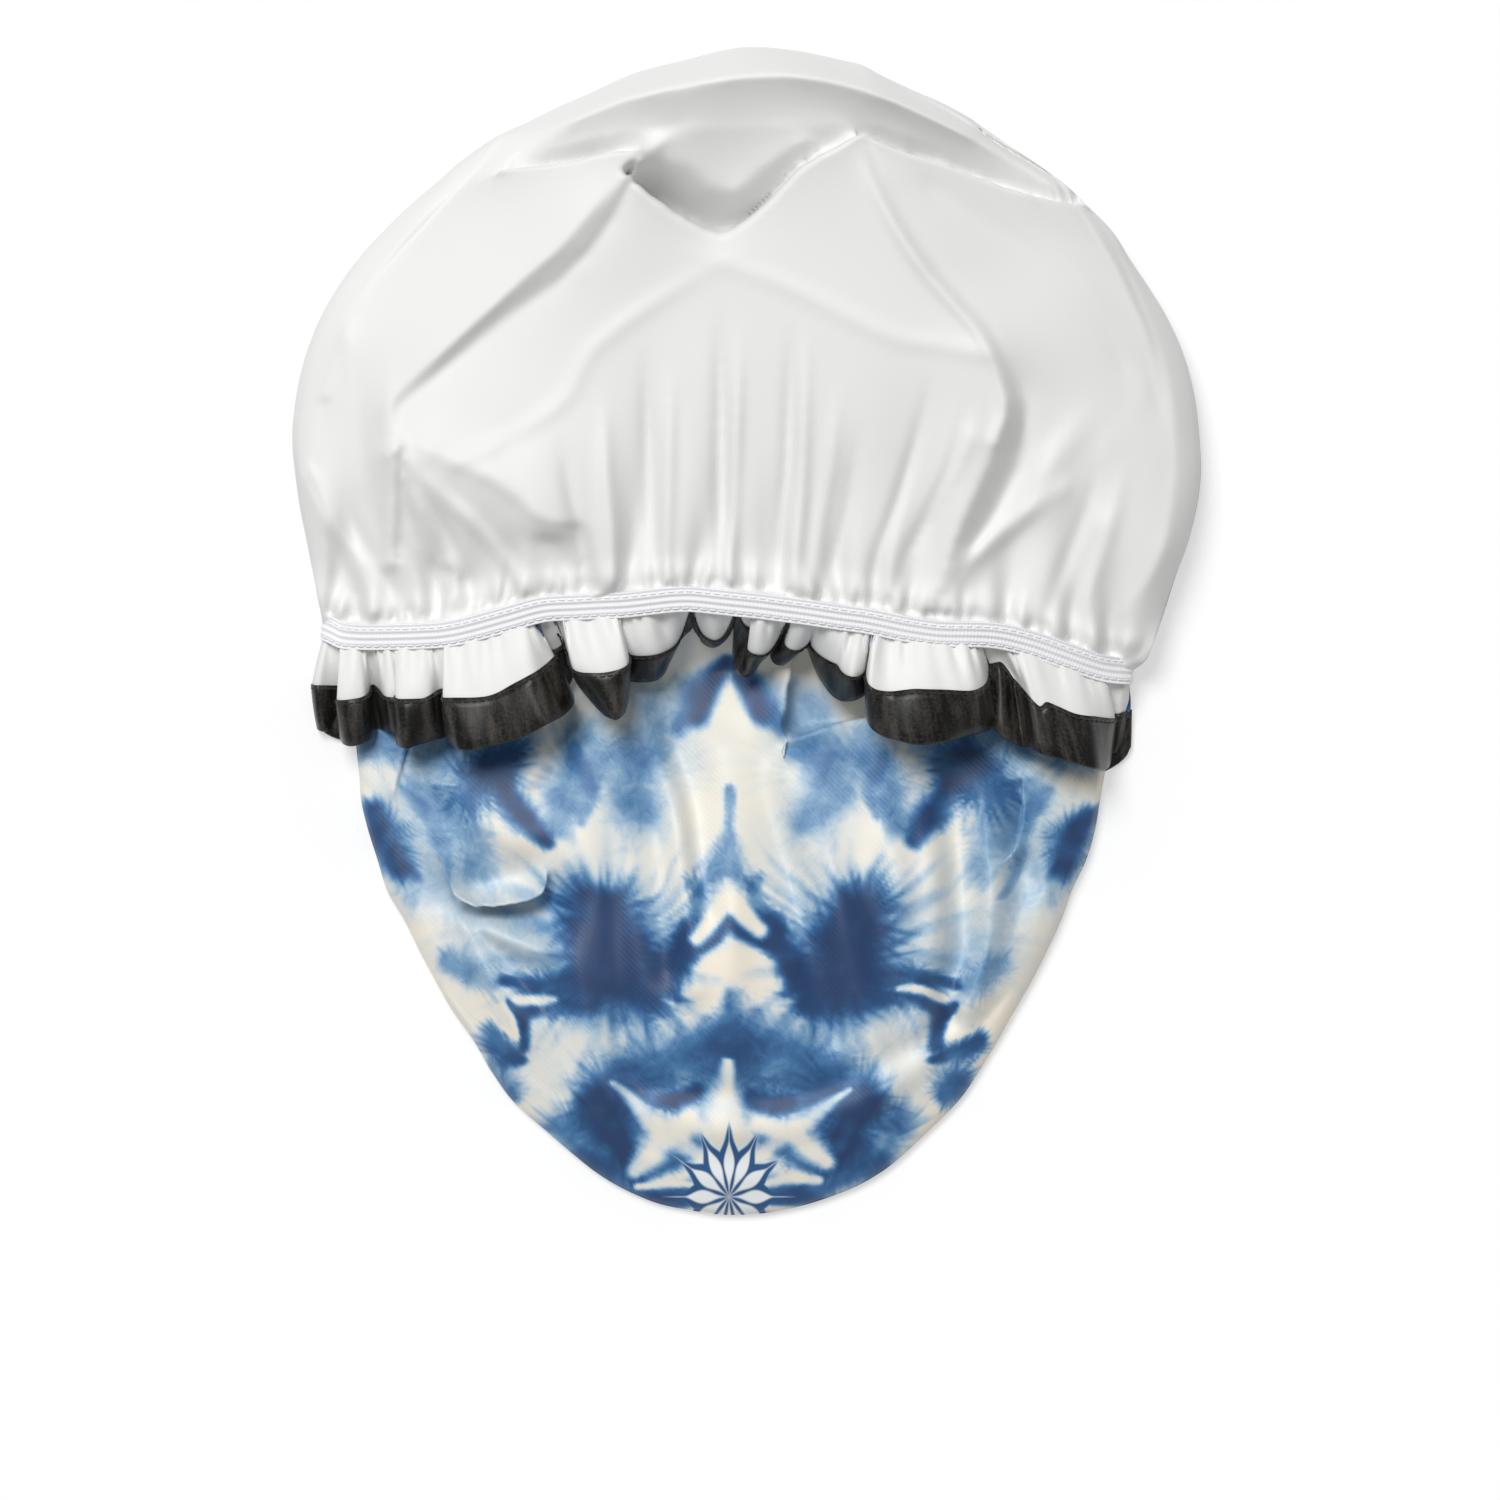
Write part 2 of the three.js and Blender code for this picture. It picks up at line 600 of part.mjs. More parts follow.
// The satin: the bag, its turn over the upper stitches and the frill's back, all one cloth
const turn_edge = elastic_width / 2 - elastic_inset / 2;
const wall_depth = film_depth + ply_pitch + turn_pitch;
const satin_start = ring.map((frame) => ringPoint(frame, -seat_half, -wall_depth));
const satin_turn = [
  satin_start,
  ring.map((frame) => ringPoint(frame, turn_edge, -wall_depth)),
  ring.map((frame) => ringPoint(frame, turn_edge + turn_pitch / 2, -wall_depth + turn_pitch / 2)),
  ring.map((frame) => ringPoint(frame, turn_edge, -wall_depth + turn_pitch)),
  ring.map((frame) => ringPoint(frame, -seat_half, -wall_depth + turn_pitch)),
];
const back_stack = leaf_back + ribbon_thickness + thread_diameter + 4 * ply_gap;
const satin_bag_rows = rowShares(outer_rows, (outer_lead_share * 2) / 3)
  .map((along) =>
    bagRow(outer, along, satin_start, outer_lead_share).map((spot, index) => {
      const under = 1 - smooth(-spot.y, over_frill_share * frill_depth, past_frill_share * frill_depth);
      const lowest = Math.max(frill_floor + back_wave_height, frill_bases[index].z) + back_stack;
      if (ring[index].back) spot.z = Math.max(spot.z, lowest * under);
      return spot;
    }),
  )
  .reverse();
const first_frill_row = film_rows.length - frill_shares.length;
const satin_frill_rows = frill_shares.map((share, index) =>
  shifted(film_rows[first_frill_row + index], film_normals[first_frill_row + index], -ply_pitch),
);
const satin_rows = [...satin_bag_rows, ...satin_turn, ...satin_frill_rows];
const satin_normals = normalsOf(satin_rows);
const outer_end = outer.wall(ring[0], 1);

// The binding: one ribbon folded over the edges of both plies, between the border row and past the edge
function bindingLoops() {
  const border = film_rows.length - 3;
  const leaf = (distance, levels) =>
    levels.map((level) => shifted(film_rows[level], film_normals[level], distance));
  const levels = [border, border + 1, border + 2];
  const edge = film_rows[border + 2];
  const downwards = edge.map((spot, index) => spot.clone().sub(film_rows[border + 1][index]).normalize());
  const tip = (reach) =>
    edge.map((spot, index) =>
      spot
        .clone()
        .addScaledVector(downwards[index], reach)
        .addScaledVector(film_normals[border + 2][index], (leaf_front - leaf_back) / 2),
    );
  const half = ribbon_thickness / 2;
  const back_levels = [...levels].reverse();
  return [
    ...leaf(leaf_front + half, levels),
    tip(binding_tip),
    ...leaf(-leaf_back - half, back_levels),
    ...leaf(-leaf_back + half, levels),
    tip(binding_tip - ribbon_thickness),
    ...leaf(leaf_front - half, back_levels),
  ];
}

// The elastic: a flat band round the ring, outside the film
function elasticLoops() {
  const half = elastic_width / 2;
  const corners = [
    [half, 0],
    [half, elastic_thickness],
    [-half, elastic_thickness],
    [-half, 0],
  ];
  return corners.map(([across, outwards]) => ring.map((frame) => ringPoint(frame, across, outwards)));
}

// A thread of three sides round a row of points, with the directions across and out of the cloth there
function threadLoops(row, across_row, out_row) {
  const radius = thread_diameter / 2;
  const sides = 3;
  return Array.from({ length: sides }, (unused, side) => {
    const turn = (2 * Math.PI * side) / sides;
    return row.map((spot, index) =>
      spot
        .clone()
        .addScaledVector(across_row[index], radius * Math.cos(turn))
        .addScaledVector(out_row[index], radius * Math.sin(turn)),
    );
  });
}

function elasticStitch(across) {
  const row = ring.map((frame) => ringPoint(frame, across, elastic_thickness + thread_lift));
  return threadLoops(
    row,
    ring.map((frame) => frame.width.clone()),
    ring.map((frame) => frame.out.clone()),
  );
}

function bindingStitch(distance) {
  const border = film_rows.length - 3;
  const inset = binding_inset / binding_depth;
  const row = film_rows[border].map((spot, index) => {
    const normal = film_normals[border][index].clone().lerp(film_normals[border + 1][index], inset);
    return spot.clone().lerp(film_rows[border + 1][index], 2 * inset).addScaledVector(normal, distance);
  });
  const up_row = row.map((spot, index) =>
    film_rows[border][index].clone().sub(film_rows[border + 1][index]).normalize(),
  );
  return threadLoops(row, up_row, film_normals[border]);
}

const cap = new THREE.Group();
const laid = new THREE.Group();
cap.add(laid);

function addPiece(name, geometry, colour, roughness) {
  const material = new THREE.MeshStandardMaterial({ color: colour, roughness, metalness: 0 });
  const mesh = new THREE.Mesh(geometry, material);
  mesh.name = name;
  laid.add(mesh);
}

// At both far ends the cloth's normals have turned to +Y: out of the liner, and into the satin bag
const end_normal = new THREE.Vector3(0, 1, 0);
addPiece(
  "peva_liner",
  sheetOf(film_rows, film_normals, liner_end, end_normal, film_thickness),
  0xf2f2f0,
  0.4,
);
addPiece(
  "satin_outer",
  sheetOf(satin_rows, satin_normals, outer_end, end_normal, satin_thickness),
  0x6d8fb8,
  0.35,
);
const upper_stitch = elastic_width / 2 - elastic_inset;
addPiece("elastic_band", bodyOf(elasticLoops()), 0xf4f6f8, 0.7);
addPiece("edge_binding", bodyOf(bindingLoops()), 0x1b1b1a, 0.35);
addPiece("elastic_stitch_upper", bodyOf(elasticStitch(upper_stitch)), 0xffffff, 0.6);
addPiece("elastic_stitch_lower", bodyOf(elasticStitch(-upper_stitch)), 0xffffff, 0.6);
const stitch_lift = ribbon_thickness / 2 + thread_lift;
addPiece("binding_stitch_front", bodyOf(bindingStitch(leaf_front + stitch_lift)), 0x141414, 0.6);
addPiece("binding_stitch_back", bodyOf(bindingStitch(-leaf_back - stitch_lift)), 0x141414, 0.6);

// The cap stands with the middle of its underside over the origin
const box = new THREE.Box3().setFromObject(laid);
const middle = box.getCenter(new THREE.Vector3());
laid.position.set(-middle.x, -middle.y, -box.min.z);

export default cap;
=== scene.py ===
"""The looks of a double layer shower cap that lies flat, with its film liner pulled out of the satin bag.

Run as a script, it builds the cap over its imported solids. Lengths are metres in Blender. The tables and sizes
below are millimetres, which the name MM turns into metres, apart from those that say otherwise.
"""

import json
import math

import bpy
import numpy as np
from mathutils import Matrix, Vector

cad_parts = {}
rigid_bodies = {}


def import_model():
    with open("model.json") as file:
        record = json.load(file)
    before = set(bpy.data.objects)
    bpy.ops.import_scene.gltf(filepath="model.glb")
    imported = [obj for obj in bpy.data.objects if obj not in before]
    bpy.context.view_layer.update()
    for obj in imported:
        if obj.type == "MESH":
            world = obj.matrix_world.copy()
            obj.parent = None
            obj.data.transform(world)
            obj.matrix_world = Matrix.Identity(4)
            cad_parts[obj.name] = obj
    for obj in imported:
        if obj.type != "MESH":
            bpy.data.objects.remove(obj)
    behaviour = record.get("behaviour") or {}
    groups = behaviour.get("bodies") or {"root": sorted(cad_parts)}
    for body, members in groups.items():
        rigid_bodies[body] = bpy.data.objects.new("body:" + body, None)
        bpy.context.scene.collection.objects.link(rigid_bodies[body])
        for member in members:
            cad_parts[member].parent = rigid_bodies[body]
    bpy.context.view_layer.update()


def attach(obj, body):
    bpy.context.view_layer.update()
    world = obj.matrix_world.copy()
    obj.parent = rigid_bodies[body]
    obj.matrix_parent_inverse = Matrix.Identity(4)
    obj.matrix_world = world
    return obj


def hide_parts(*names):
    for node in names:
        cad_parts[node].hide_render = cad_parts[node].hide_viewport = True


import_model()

bl_info = {
    "name": "Double Layer Shower Cap",
    "version": (1, 0, 0),
    "blender": (4, 5, 0),
    "location": "View3D > Sidebar > Shower Cap",
    "description": "Builds a satin and film shower cap that lies flat with its liner pulled out",
    "category": "Object",
}

MM = 0.001

# Where the camera hangs, over which spot of the table, how wide a square of the table it sees and how far
VIEW_MIDDLE = (1.3, -40.0)
VIEW_HEIGHT = 4000.0
VIEW_WIDTH = 496.2
VIEW_END = 20.0
SENSOR = 36.0

# The table, in metres, and the light: a sun through a wide window, and an even room
TABLE_SIZE = 6.0
SUN_PLACE = (-0.75, 1.05, 1.5)
SUN_AIM = (0.22, -0.42, -0.88)
SUN_ANGLE = 26.0
SUN_LIGHT = 2.36
ROOM_LIGHT = 0.34
WHITE = (1.0, 1.0, 1.0, 1.0)

# The tables give places on the table, in millimetres from the cap's middle, as they look from above.
# Outlines of the liner: its left side up from the ring, its far end, and its right side
LINER_LEFT = (
    (-140.3, 4.3), (-141.6, 9.6), (-143.2, 17.9), (-145.2, 27.8), (-147.5, 39.4), (-149.2, 51),
    (-150.2, 62.5), (-149.5, 72.5), (-147.9, 82.4), (-145.2, 92.3), (-140.9, 102.9), (-135.3, 112.8),
    (-128.4, 122.4), (-119.7, 132), (-110.8, 140.6), (-102.2, 147.9), (-93.9, 155.2), (-83, 162.8),
)
LINER_TOP = (
    (-83, 162.8), (-77.4, 165.4), (-71.5, 168.1), (-61.5, 173), (-51.6, 177.3), (-39.4, 183),
    (-30.1, 185.9), (-20.5, 188.2), (-10.3, 190.9), (-1.3, 192.5), (6.3, 192.5), (17.9, 191.2),
    (32.1, 188.2), (38.4, 186.6), (46, 182.6), (55.2, 178.3), (64.2, 174.4), (72.4, 170.1),
    (75.8, 167.7), (79.1, 163.4),
)
LINER_RIGHT = (
    (128.4, -11.6), (132.7, -8.6), (134.3, -5.6), (136.3, -0.3), (138.3, 5.6), (141.9, 16.9),
    (145.9, 27.8), (149.2, 41), (150.5, 52.6), (149.9, 64.2), (148.9, 74.1), (146.9, 84), (143.6, 94),
    (138.9, 103.9), (133, 113.5), (127, 122.4), (121.1, 131.7), (112.1, 140.9), (104.5, 147.9),
    (93.9, 154.5), (87.7, 158.1), (79.1, 163.4),
)

# Outlines of the satin bag, in the same order
SATIN_LEFT = (
    (-132.7, -6.9), (-130.3, -23.5), (-129, -38.3), (-128, -48.3), (-127.4, -56.5), (-125, -66.5),
    (-122.1, -75.7), (-119.1, -85.7), (-116.1, -91.3), (-113.1, -96.2), (-108.2, -106.2),
    (-102.9, -116.1), (-97.3, -126), (-90.3, -135.9), (-85, -145.2),
)
SATIN_END = (
    (-85, -145.2), (-77.4, -155.8), (-66.5, -165.7), (-55.6, -175), (-48.3, -180.6), (-39.7, -185.6),
    (-28.4, -190.2), (-15.2, -192.8), (-6, -193.8), (6.3, -193.2), (19.5, -190.5), (33.7, -185.6),
    (42.7, -180.9), (50, -175.6), (59.9, -166.4), (70.5, -155.8), (77.4, -145.9),
)
SATIN_RIGHT = (
    (123.7, -20.2), (121.1, -33.4), (119.1, -45), (117.1, -56.5), (115.4, -66.5), (112.5, -76.4),
    (107.8, -86.3), (104.2, -96.2), (99.6, -106.2), (94.6, -116.1), (89, -126), (83.4, -135.9),
    (77.4, -145.9),
)

# The two edges of the elastic over the front
BAND_UPPER = (
    (-139.8, 3.7), (-136.6, 2.7), (-133, 1.2), (-127, 0.8), (-120.5, 0.8), (-112.5, 0.9),
    (-104.3, 1.3), (-98.9, 1.8), (-93.6, 2.7), (-85.3, 5), (-76.7, 7.3), (-71.5, 8.5), (-66.5, 9.2),
    (-57.9, 9.9), (-48, 10.6), (-33.4, 11.6), (-20.8, 12), (-14.2, 12), (-7.3, 11.8), (3, 11.1),
    (12.9, 9.9), (19.8, 8.6), (26.5, 7.2), (34.4, 6.4), (42.3, 5.5), (49.6, 4.3), (56.8, 3),
    (62.2, 2.2), (67.5, 1.9), (72.8, 1.7), (78.3, 1.3), (84, 0.5), (89, -0.6), (96.3, -2.6),
    (101.6, -4.3), (107, -5.9), (112.5, -8.1), (117.8, -9.9), (122.7, -10.9), (128, -11.5),
)
BAND_LOWER = (
    (-140.6, -1.8), (-137.3, -3.6), (-133.6, -5.5), (-127.4, -6), (-120.7, -6), (-113.8, -5.8),
    (-106.8, -5.6), (-100.2, -5.2), (-93.6, -3.8), (-86.7, -2.1), (-76.7, 0.8), (-71.5, 2.7),
    (-66.5, 4.2), (-61.5, 4.5), (-56.4, 4.5), (-49, 4.8), (-41.2, 4.9), (-35.7, 5.6), (-30.4, 6.6),
    (-25.1, 7.6), (-19.5, 8), (-15.2, 7.5), (-10.8, 6.6), (-3.3, 5.4), (4.6, 4.4), (12.9, 3.3),
    (19.8, 2.8), (26.4, 2.2), (32.7, 1), (38.8, 0), (45.3, -1.6), (51.7, -3.2), (57.6, -4.1),
    (63.8, -4.9), (69.1, -5), (74.7, -4.9), (80.1, -4.8), (85.3, -5.3), (91, -6.6), (96.3, -8.2),
    (101.6, -10.2), (107, -12.5), (112.5, -14.2), (117.8, -15.7), (122.7, -16.4), (127.4, -16.5),
)

# On the sheet, the foot of a fold is held at least so far from its lip, and then drawn in to where it lies. A
# drop of less than no width tucks the foot under the lip.
FOOT_REACH = 2.4
TUCKED = -2.0
# A foot is drawn in fully where it lies this far below its lip. Lines are read at this pitch, and hold the
# places of the sheet that are nearer than this share of a cell.
FULL_DROP = 4.0
LINE_PITCH = 0.5
HELD_NEAR = 0.56

# Folded edges: the side that drops, the places along the lip, then heights of the lip, heights of the foot
# and widths of the drop, each spread evenly along it
CROWN_LIPS = {
    "main_ridge": (-1, (
        (-118.8, 74.1), (-114.5, 78.8), (-107.8, 85), (-100.2, 91.7), (-91.3, 99.9), (-82.4, 107.9),
        (-74.8, 115.1), (-69.8, 119.4), (-62.2, 125.7), (-54.6, 134), (-50, 139.6), (-47, 142.9),
        (-41.7, 149.9), (-36.1, 157.5),
    ), (48, 54, 58, 60.5, 61.5, 62), (48, 49, 52, 53.5, 56, 63), (3, 4.5, 6, 8.5, 7, 2.5)),
    "left_lip": (1, (
        (-81.4, 151.9), (-77.4, 152.5), (-69.8, 153.3), (-62.2, 154.3), (-55.9, 155.5), (-49.6, 156.8),
        (-43, 158.5), (-36.1, 158.5),
    ), (50.5, 57, 61, 63), (34, 26, 26, 36), (TUCKED,)),
    "dent_left": (1, (
        (-39.7, 151.2), (-35.1, 147.6), (-29.4, 143.3), (-23.5, 139.3), (-16.9, 135.3), (-12.6, 133),
        (-9.3, 132),
    ), (64, 60.5, 57.5), (44, 22, 12, 6), (TUCKED,)),
    "dent_right": (1, (
        (-7.9, 132), (-4.6, 133.3), (-0.3, 136.3), (5.6, 141.3), (11.2, 146.9), (16.9, 153.2),
        (21.8, 156.2), (26.5, 158.8), (31.8, 161.5), (36.7, 164.1),
    ), (57.5, 60, 63.5, 67, 67), (6, 15, 25.5, 32, 40), (TUCKED,)),
    "right_lip": (1, (
        (36.7, 164.1), (44.3, 161.5), (51.6, 158.5), (60.2, 155.8), (68.1, 153.2), (75.4, 150.2),
        (82.4, 147.6), (89.3, 145.2), (96.3, 143.3), (103.9, 141.6), (112.1, 140.3),
    ), (66, 60.5, 55.5, 50, 36), (38, 27, 23, 22, 22), (TUCKED,)),
    "right_ridge": (1, (
        (37.4, 162.8), (40.4, 151.9), (43.3, 144.3), (47.3, 136.3), (52.6, 127.7), (59.9, 116.8),
        (65.5, 110.8), (71.1, 105.2), (75.8, 99.9), (79.4, 94.6), (82.4, 85), (84.4, 79.1), (86, 75.1),
        (85.7, 69.5), (83, 62.2), (80.7, 55.6), (76.1, 45.3), (71.1, 34.8), (65.8, 21.2), (60.5, 7),
    ), (64, 63.5, 62, 60.5, 59, 58.5, 57.5, 56, 52.5, 48, 44),
        (63, 62, 60, 58, 56.5, 54, 46, 39.5, 37.5, 37, 37.5),
        (2.5, 3, 3, 3, 3.5, 5, 6.5, 8.5, 8, 6, 3.5)),
    "hollow_lip": (-1, (
        (-106.5, 59.6), (-101.2, 57.6), (-95.6, 54.9), (-90, 52.6), (-84.4, 50), (-79.4, 46.7),
        (-74.8, 43.4), (-69.8, 38.1), (-63.8, 35.7), (-59.9, 36.1), (-55.9, 36.4), (-52.6, 33.8),
        (-51.3, 26.2), (-49.6, 17.9), (-48, 10.6),
    ), (56.5, 60, 58.5, 53.5, 47.5), (55.5, 57, 54.5, 50.5, 45), (4,)),
    "corner_drop": (1, (
        (-116.8, 60.2), (-117.3, 52.6), (-117.3, 44.3), (-117.3, 36.1), (-117.8, 28.8), (-118.4, 23.5),
    ), (54, 33), (54, 32.5), (3,)),
    "fan_ridge": (-1, (
        (-115.8, 59.9), (-112.8, 55.9), (-109.5, 48.3), (-106.5, 41), (-102.9, 33.8), (-99.2, 26.2),
        (-96.3, 17.9), (-93.9, 11.6), (-92.3, 7.6),
    ), (57, 52, 42, 35), (53.5, 48, 39, 32), (3.5,)),
    "line_d": (1, (
        (74.8, 63.9), (67.2, 49.3), (58.2, 35.1), (52.5, 22.5), (47.6, 13.9), (43.7, 6.6),
    ), (59, 52.5, 45.5), (58, 49.5, 44.5), (2.5,)),
    "pouch": (1, (
        (-118.4, 23.5), (-112.8, 21.9), (-106.8, 19.5), (-101.9, 17.6), (-97.9, 15.6), (-95.9, 12.3),
        (-95.9, 9.6), (-101.2, 7.6), (-106.5, 6.6),
    ), (35, 34.5, 35, 32.5), (35, 36, 34.5, 31.5), (2.5,)),
    "left_corner": (-1, (
        (-143.9, 52.3), (-142.2, 49.3), (-139.3, 43.7), (-136, 38.1), (-132.3, 31.1), (-128.7, 24.8),
        (-126.4, 19.5), (-124.4, 12.9), (-123.7, 6.3),
    ), (29.5, 33, 31, 27), (27.5, 31.5, 29.5, 25.5), (3,)),
}
# Lines that the film rises or sinks to: their places, and their heights spread evenly along each
CROWN_LINES = {
    "main_far_lip": ((
        (-100.2, 87), (-91.3, 95), (-81.4, 103.4), (-74.8, 107.5), (-69.8, 110.8), (-62.9, 115.5),
        (-55.9, 120.1), (-52.6, 127.4), (-49.6, 135), (-45.7, 141.3), (-41.7, 147.2),
    ), (49, 52.5, 54, 57.5, 62.5)),
    "left_rim": ((
        (-80.7, 164.4), (-87.7, 153.2), (-96.3, 144.3), (-103.9, 136.3), (-112.8, 127.7), (-119.4, 120.1),
        (-125.7, 112.5), (-134.3, 99.6), (-137, 93.6), (-140.3, 81.1), (-141.9, 68.2), (-143.2, 57.6),
        (-143.9, 52.3),
    ), (27, 25.5, 28)),
    "right_rim": ((
        (112.1, 140.3), (117.1, 135.7), (122.1, 130.7), (125.7, 119.8), (129, 111.5), (132.3, 102.9),
        (136.3, 93.3), (139.3, 83.4), (140.9, 74.5), (141.4, 65.5), (140.9, 52.6), (140.3, 39.4),
        (138.6, 27.8), (133.6, 17.2), (127, 9.3), (118.8, 1.7), (110.5, -3.9),
    ), (29, 31, 30, 31, 26.5)),
    "rim_roll": ((
        (-80.7, 163.8), (-71.5, 163.4), (-61.5, 166.4), (-51.6, 170.7), (-41.7, 174.7), (-28.4, 178.3),
        (-15.2, 181), (-2, 183), (11.2, 183.6), (24.5, 182.3), (37.7, 179), (50.9, 174), (64.2, 167.7),
        (77.4, 161.1), (90.6, 153.8), (100.6, 147.2), (112.1, 140.3),
    ), (24, 44, 55, 60, 60.5, 56, 45.5, 33, 25)),
    "trough": ((
        (-76.1, 157.2), (-61.5, 159.8), (-48.3, 162.4), (-35.1, 164.4), (-21.8, 166.1), (-8.6, 166.7),
        (4.6, 167.1), (17.9, 166.7), (31.1, 166.4), (44.3, 165.1), (57.6, 161.5), (70.8, 156.5),
        (84, 151.2), (97.3, 145.9),
    ), (31, 40.5, 49, 49, 43.5, 33, 27)),
    "dent_floor": ((
        (-27.8, 158.5), (-18.5, 152.5), (-10.3, 145.2), (-3.6, 143.6), (3, 149.2), (12.9, 156.2),
        (22.8, 160.8),
    ), (45, 41.5, 36.5, 39, 43, 46)),
    "top_back": ((
        (38.4, 186.6), (50.9, 180.3), (62.9, 174), (72.4, 168.4), (82.4, 161.5), (93.3, 155.2),
        (103.2, 148.9), (112.1, 140.3),
    ), (30, 33, 32, 28, 25)),
    "faint_left": ((
        (-11.6, 122.7), (-18.5, 117.8), (-24.5, 112.5), (-36.7, 102.9), (-49.6, 93.3), (-54.9, 85),
        (-59.9, 76.4), (-69.5, 69.2), (-78.7, 63.2),
    ), (58.5, 56, 54.5)),
    "faint_right": ((
        (-11.6, 122.7), (-2, 119.8), (9.9, 115.5), (27.8, 106.9), (46, 97.6), (64.2, 94), (78.7, 91.7),
    ), (59, 59.5)),
    "left_soft": ((
        (-132.7, 98.9), (-131, 90.7), (-129.3, 82.4), (-128, 67.5), (-126.4, 53), (-123.4, 38.1),
        (-120.7, 27.8), (-118.4, 23.5),
    ), (32, 36.5, 38, 32)),
    "corner": ((
        (-118.8, 74.1), (-119.4, 70.5), (-119.1, 66.8), (-118.1, 63.2), (-116.8, 60.2),
    ), (48, 47.5, 48)),
    "corner_fan": ((
        (-115.4, 60.2), (-109.5, 54.6), (-103.5, 49.3), (-97.6, 43.7), (-91.6, 38.1), (-85.7, 31.8),
        (-80.1, 25.5), (-81, 18.2), (-79.7, 13.9), (-78.1, 9.6),
    ), (52, 54.5, 51.5, 44, 39.5)),
    "fan_low": ((
        (-112.8, 42.7), (-110.5, 32.8), (-106.2, 22.8),
    ), (44, 37)),
    "hollow_floor": ((
        (-66.5, 32.8), (-63.2, 27.8), (-59.9, 21.2), (-56.6, 15.6), (-54.3, 9.6),
    ), (48.5, 41, 39)),
    "hollow_ridge": ((
        (-81.4, 36.1), (-74.8, 30.1), (-69.8, 25.2), (-66.5, 19.5), (-62.2, 13.9), (-58.9, 9.3),
    ), (52.5, 47, 42)),
    "valley": ((
        (96, 72.5), (97.5, 62.5), (95, 49.3), (89, 38), (82.5, 29.5), (76, 22.5), (70, 14), (65, 6),
    ), (47, 41.5, 38, 36.5)),
    "valley_top": ((
        (47.6, 145.2), (54.9, 132.7), (65.8, 118.1), (75.8, 106.2), (84, 92.3),
    ), (61, 57, 55)),
    "right_soft": ((
        (131, 80.7), (124, 69.5), (117.1, 58.6), (110.2, 47.3), (107.2, 40.4), (105.9, 33.4), (105.2, 23.8),
        (104.5, 13.9), (100.2, 7), (95.3, 0),
    ), (34.5, 40, 40.5, 35, 32)),
    "right_bright": ((
        (60.9, 146.9), (75.8, 137), (90.6, 128.7), (103.9, 121.4), (113.8, 112.2), (120.4, 98.9),
        (125.4, 85.7),
    ), (56.5, 36)),
    "facet_inner": ((
        (92, 37.7), (98.9, 42.7), (105.9, 46.7),
    ), (43, 44.5)),
    "facet_low": ((
        (75.8, 9.6), (84, 4.7), (90.6, 2.3),
    ), (39.5, 36)),
    "right_low": ((
        (117.1, 36.1), (120.4, 22.8), (115.4, 9.6),
    ), (39.5, 30.5)),
    "left_low": ((
        (-137.6, 29.5), (-135, 19.5), (-132.7, 9.6),
    ), (28, 23.5)),
    "right_edge_line": ((
        (137, 72.5), (132, 98.9), (123.7, 117.1), (110.5, 138.6),
    ), (31, 35.5, 38)),
}

# Long soft ridges and grooves of the film: how high, how wide, and where
FILM_RIBS = (
    (-3.2, 2.6, ((-33.5, 96), (-32.5, 62), (-32, 45), (-31, 30), (-30, 12))),
    (-3.2, 2.4, ((-9, 110), (-8.5, 76), (-8.5, 49), (-8.3, 36), (-9, 22), (-9.6, 12))),
    (-3.0, 2.4, ((15, 104), (14, 59), (13, 46), (12.2, 37), (11, 20), (8.6, 11))),
    (2.4, 2.4, ((-25, 90), (-25.5, 60), (-26, 40), (-26.5, 13))),
    (2.0, 2.4, ((-47, 80), (-46, 50), (-44, 30), (-43, 13))),
    (2.2, 2.2, ((-2, 104), (-3, 70), (-3.8, 45), (-5, 14))),
    (2.0, 2.4, ((20, 104), (19, 60), (18, 40), (14.5, 12))),
    (-2.2, 2.4, ((62, 88), (57, 65), (51, 45), (44, 25), (40, 8))),
    (-2.0, 2.4, ((74, 80), (68, 55), (60, 38), (52, 22), (47, 6))),
    (2.0, 2.6, ((31, 84), (28, 55), (25, 35), (22, 10))),
    (-2.2, 2.8, ((37, 70), (34, 40), (29, 22), (26, 9))),
    (3.0, 5.0, ((119, 79), (107, 63), (96, 49), (82, 33), (68, 14), (64, 6))),
    (2.2, 3.2, ((106, 52), (92, 37.7), (79, 26.8), (71, 20), (67, 8))),
    (-2.2, 2.8, ((-62, 66), (-58, 45), (-54, 28), (-51, 12))),
    (-2.2, 2.6, ((-119, 66), (-108, 46), (-97, 28), (-90, 10))),
    (2.0, 2.6, ((-113, 58), (-100, 44), (-84, 28), (-72, 11))),
    (-1.8, 2.6, ((-114, 60), (-112, 42), (-108, 26), (-101, 8))),
    (1.8, 2.6, ((-141, 50), (-136, 36), (-129, 22), (-124, 6))),
    (-1.8, 3.0, ((-136, 52), (-131, 36), (-121, 20), (-113, 6))),
    (-1.8, 3.0, ((118, 60), (112, 38), (104, 18), (98, 0))),
    (1.6, 3.0, ((126, 58), (121, 36), (114, 14), (108, -3))),
    (2.2, 2.6, ((34, 172), (41, 150), (53, 127.7), (66, 110.8), (79.4, 94.6), (86, 75), (83, 62))),
    (2.4, 3.2, ((-118, 92), (-118, 70), (-117, 52), (-117.3, 36), (-118.4, 22))),
    (0.8, 3.2, ((8, 130), (-24, 112), (-50, 93), (-60, 76), (-79, 63), (-96, 55))),
    (0.7, 3.2, ((-30, 128), (10, 115), (46, 97.6), (64, 94), (80, 91))),
    (1.5, 2.6, ((-84, 166), (-104, 141), (-122, 118), (-134, 98), (-139, 78))),
)

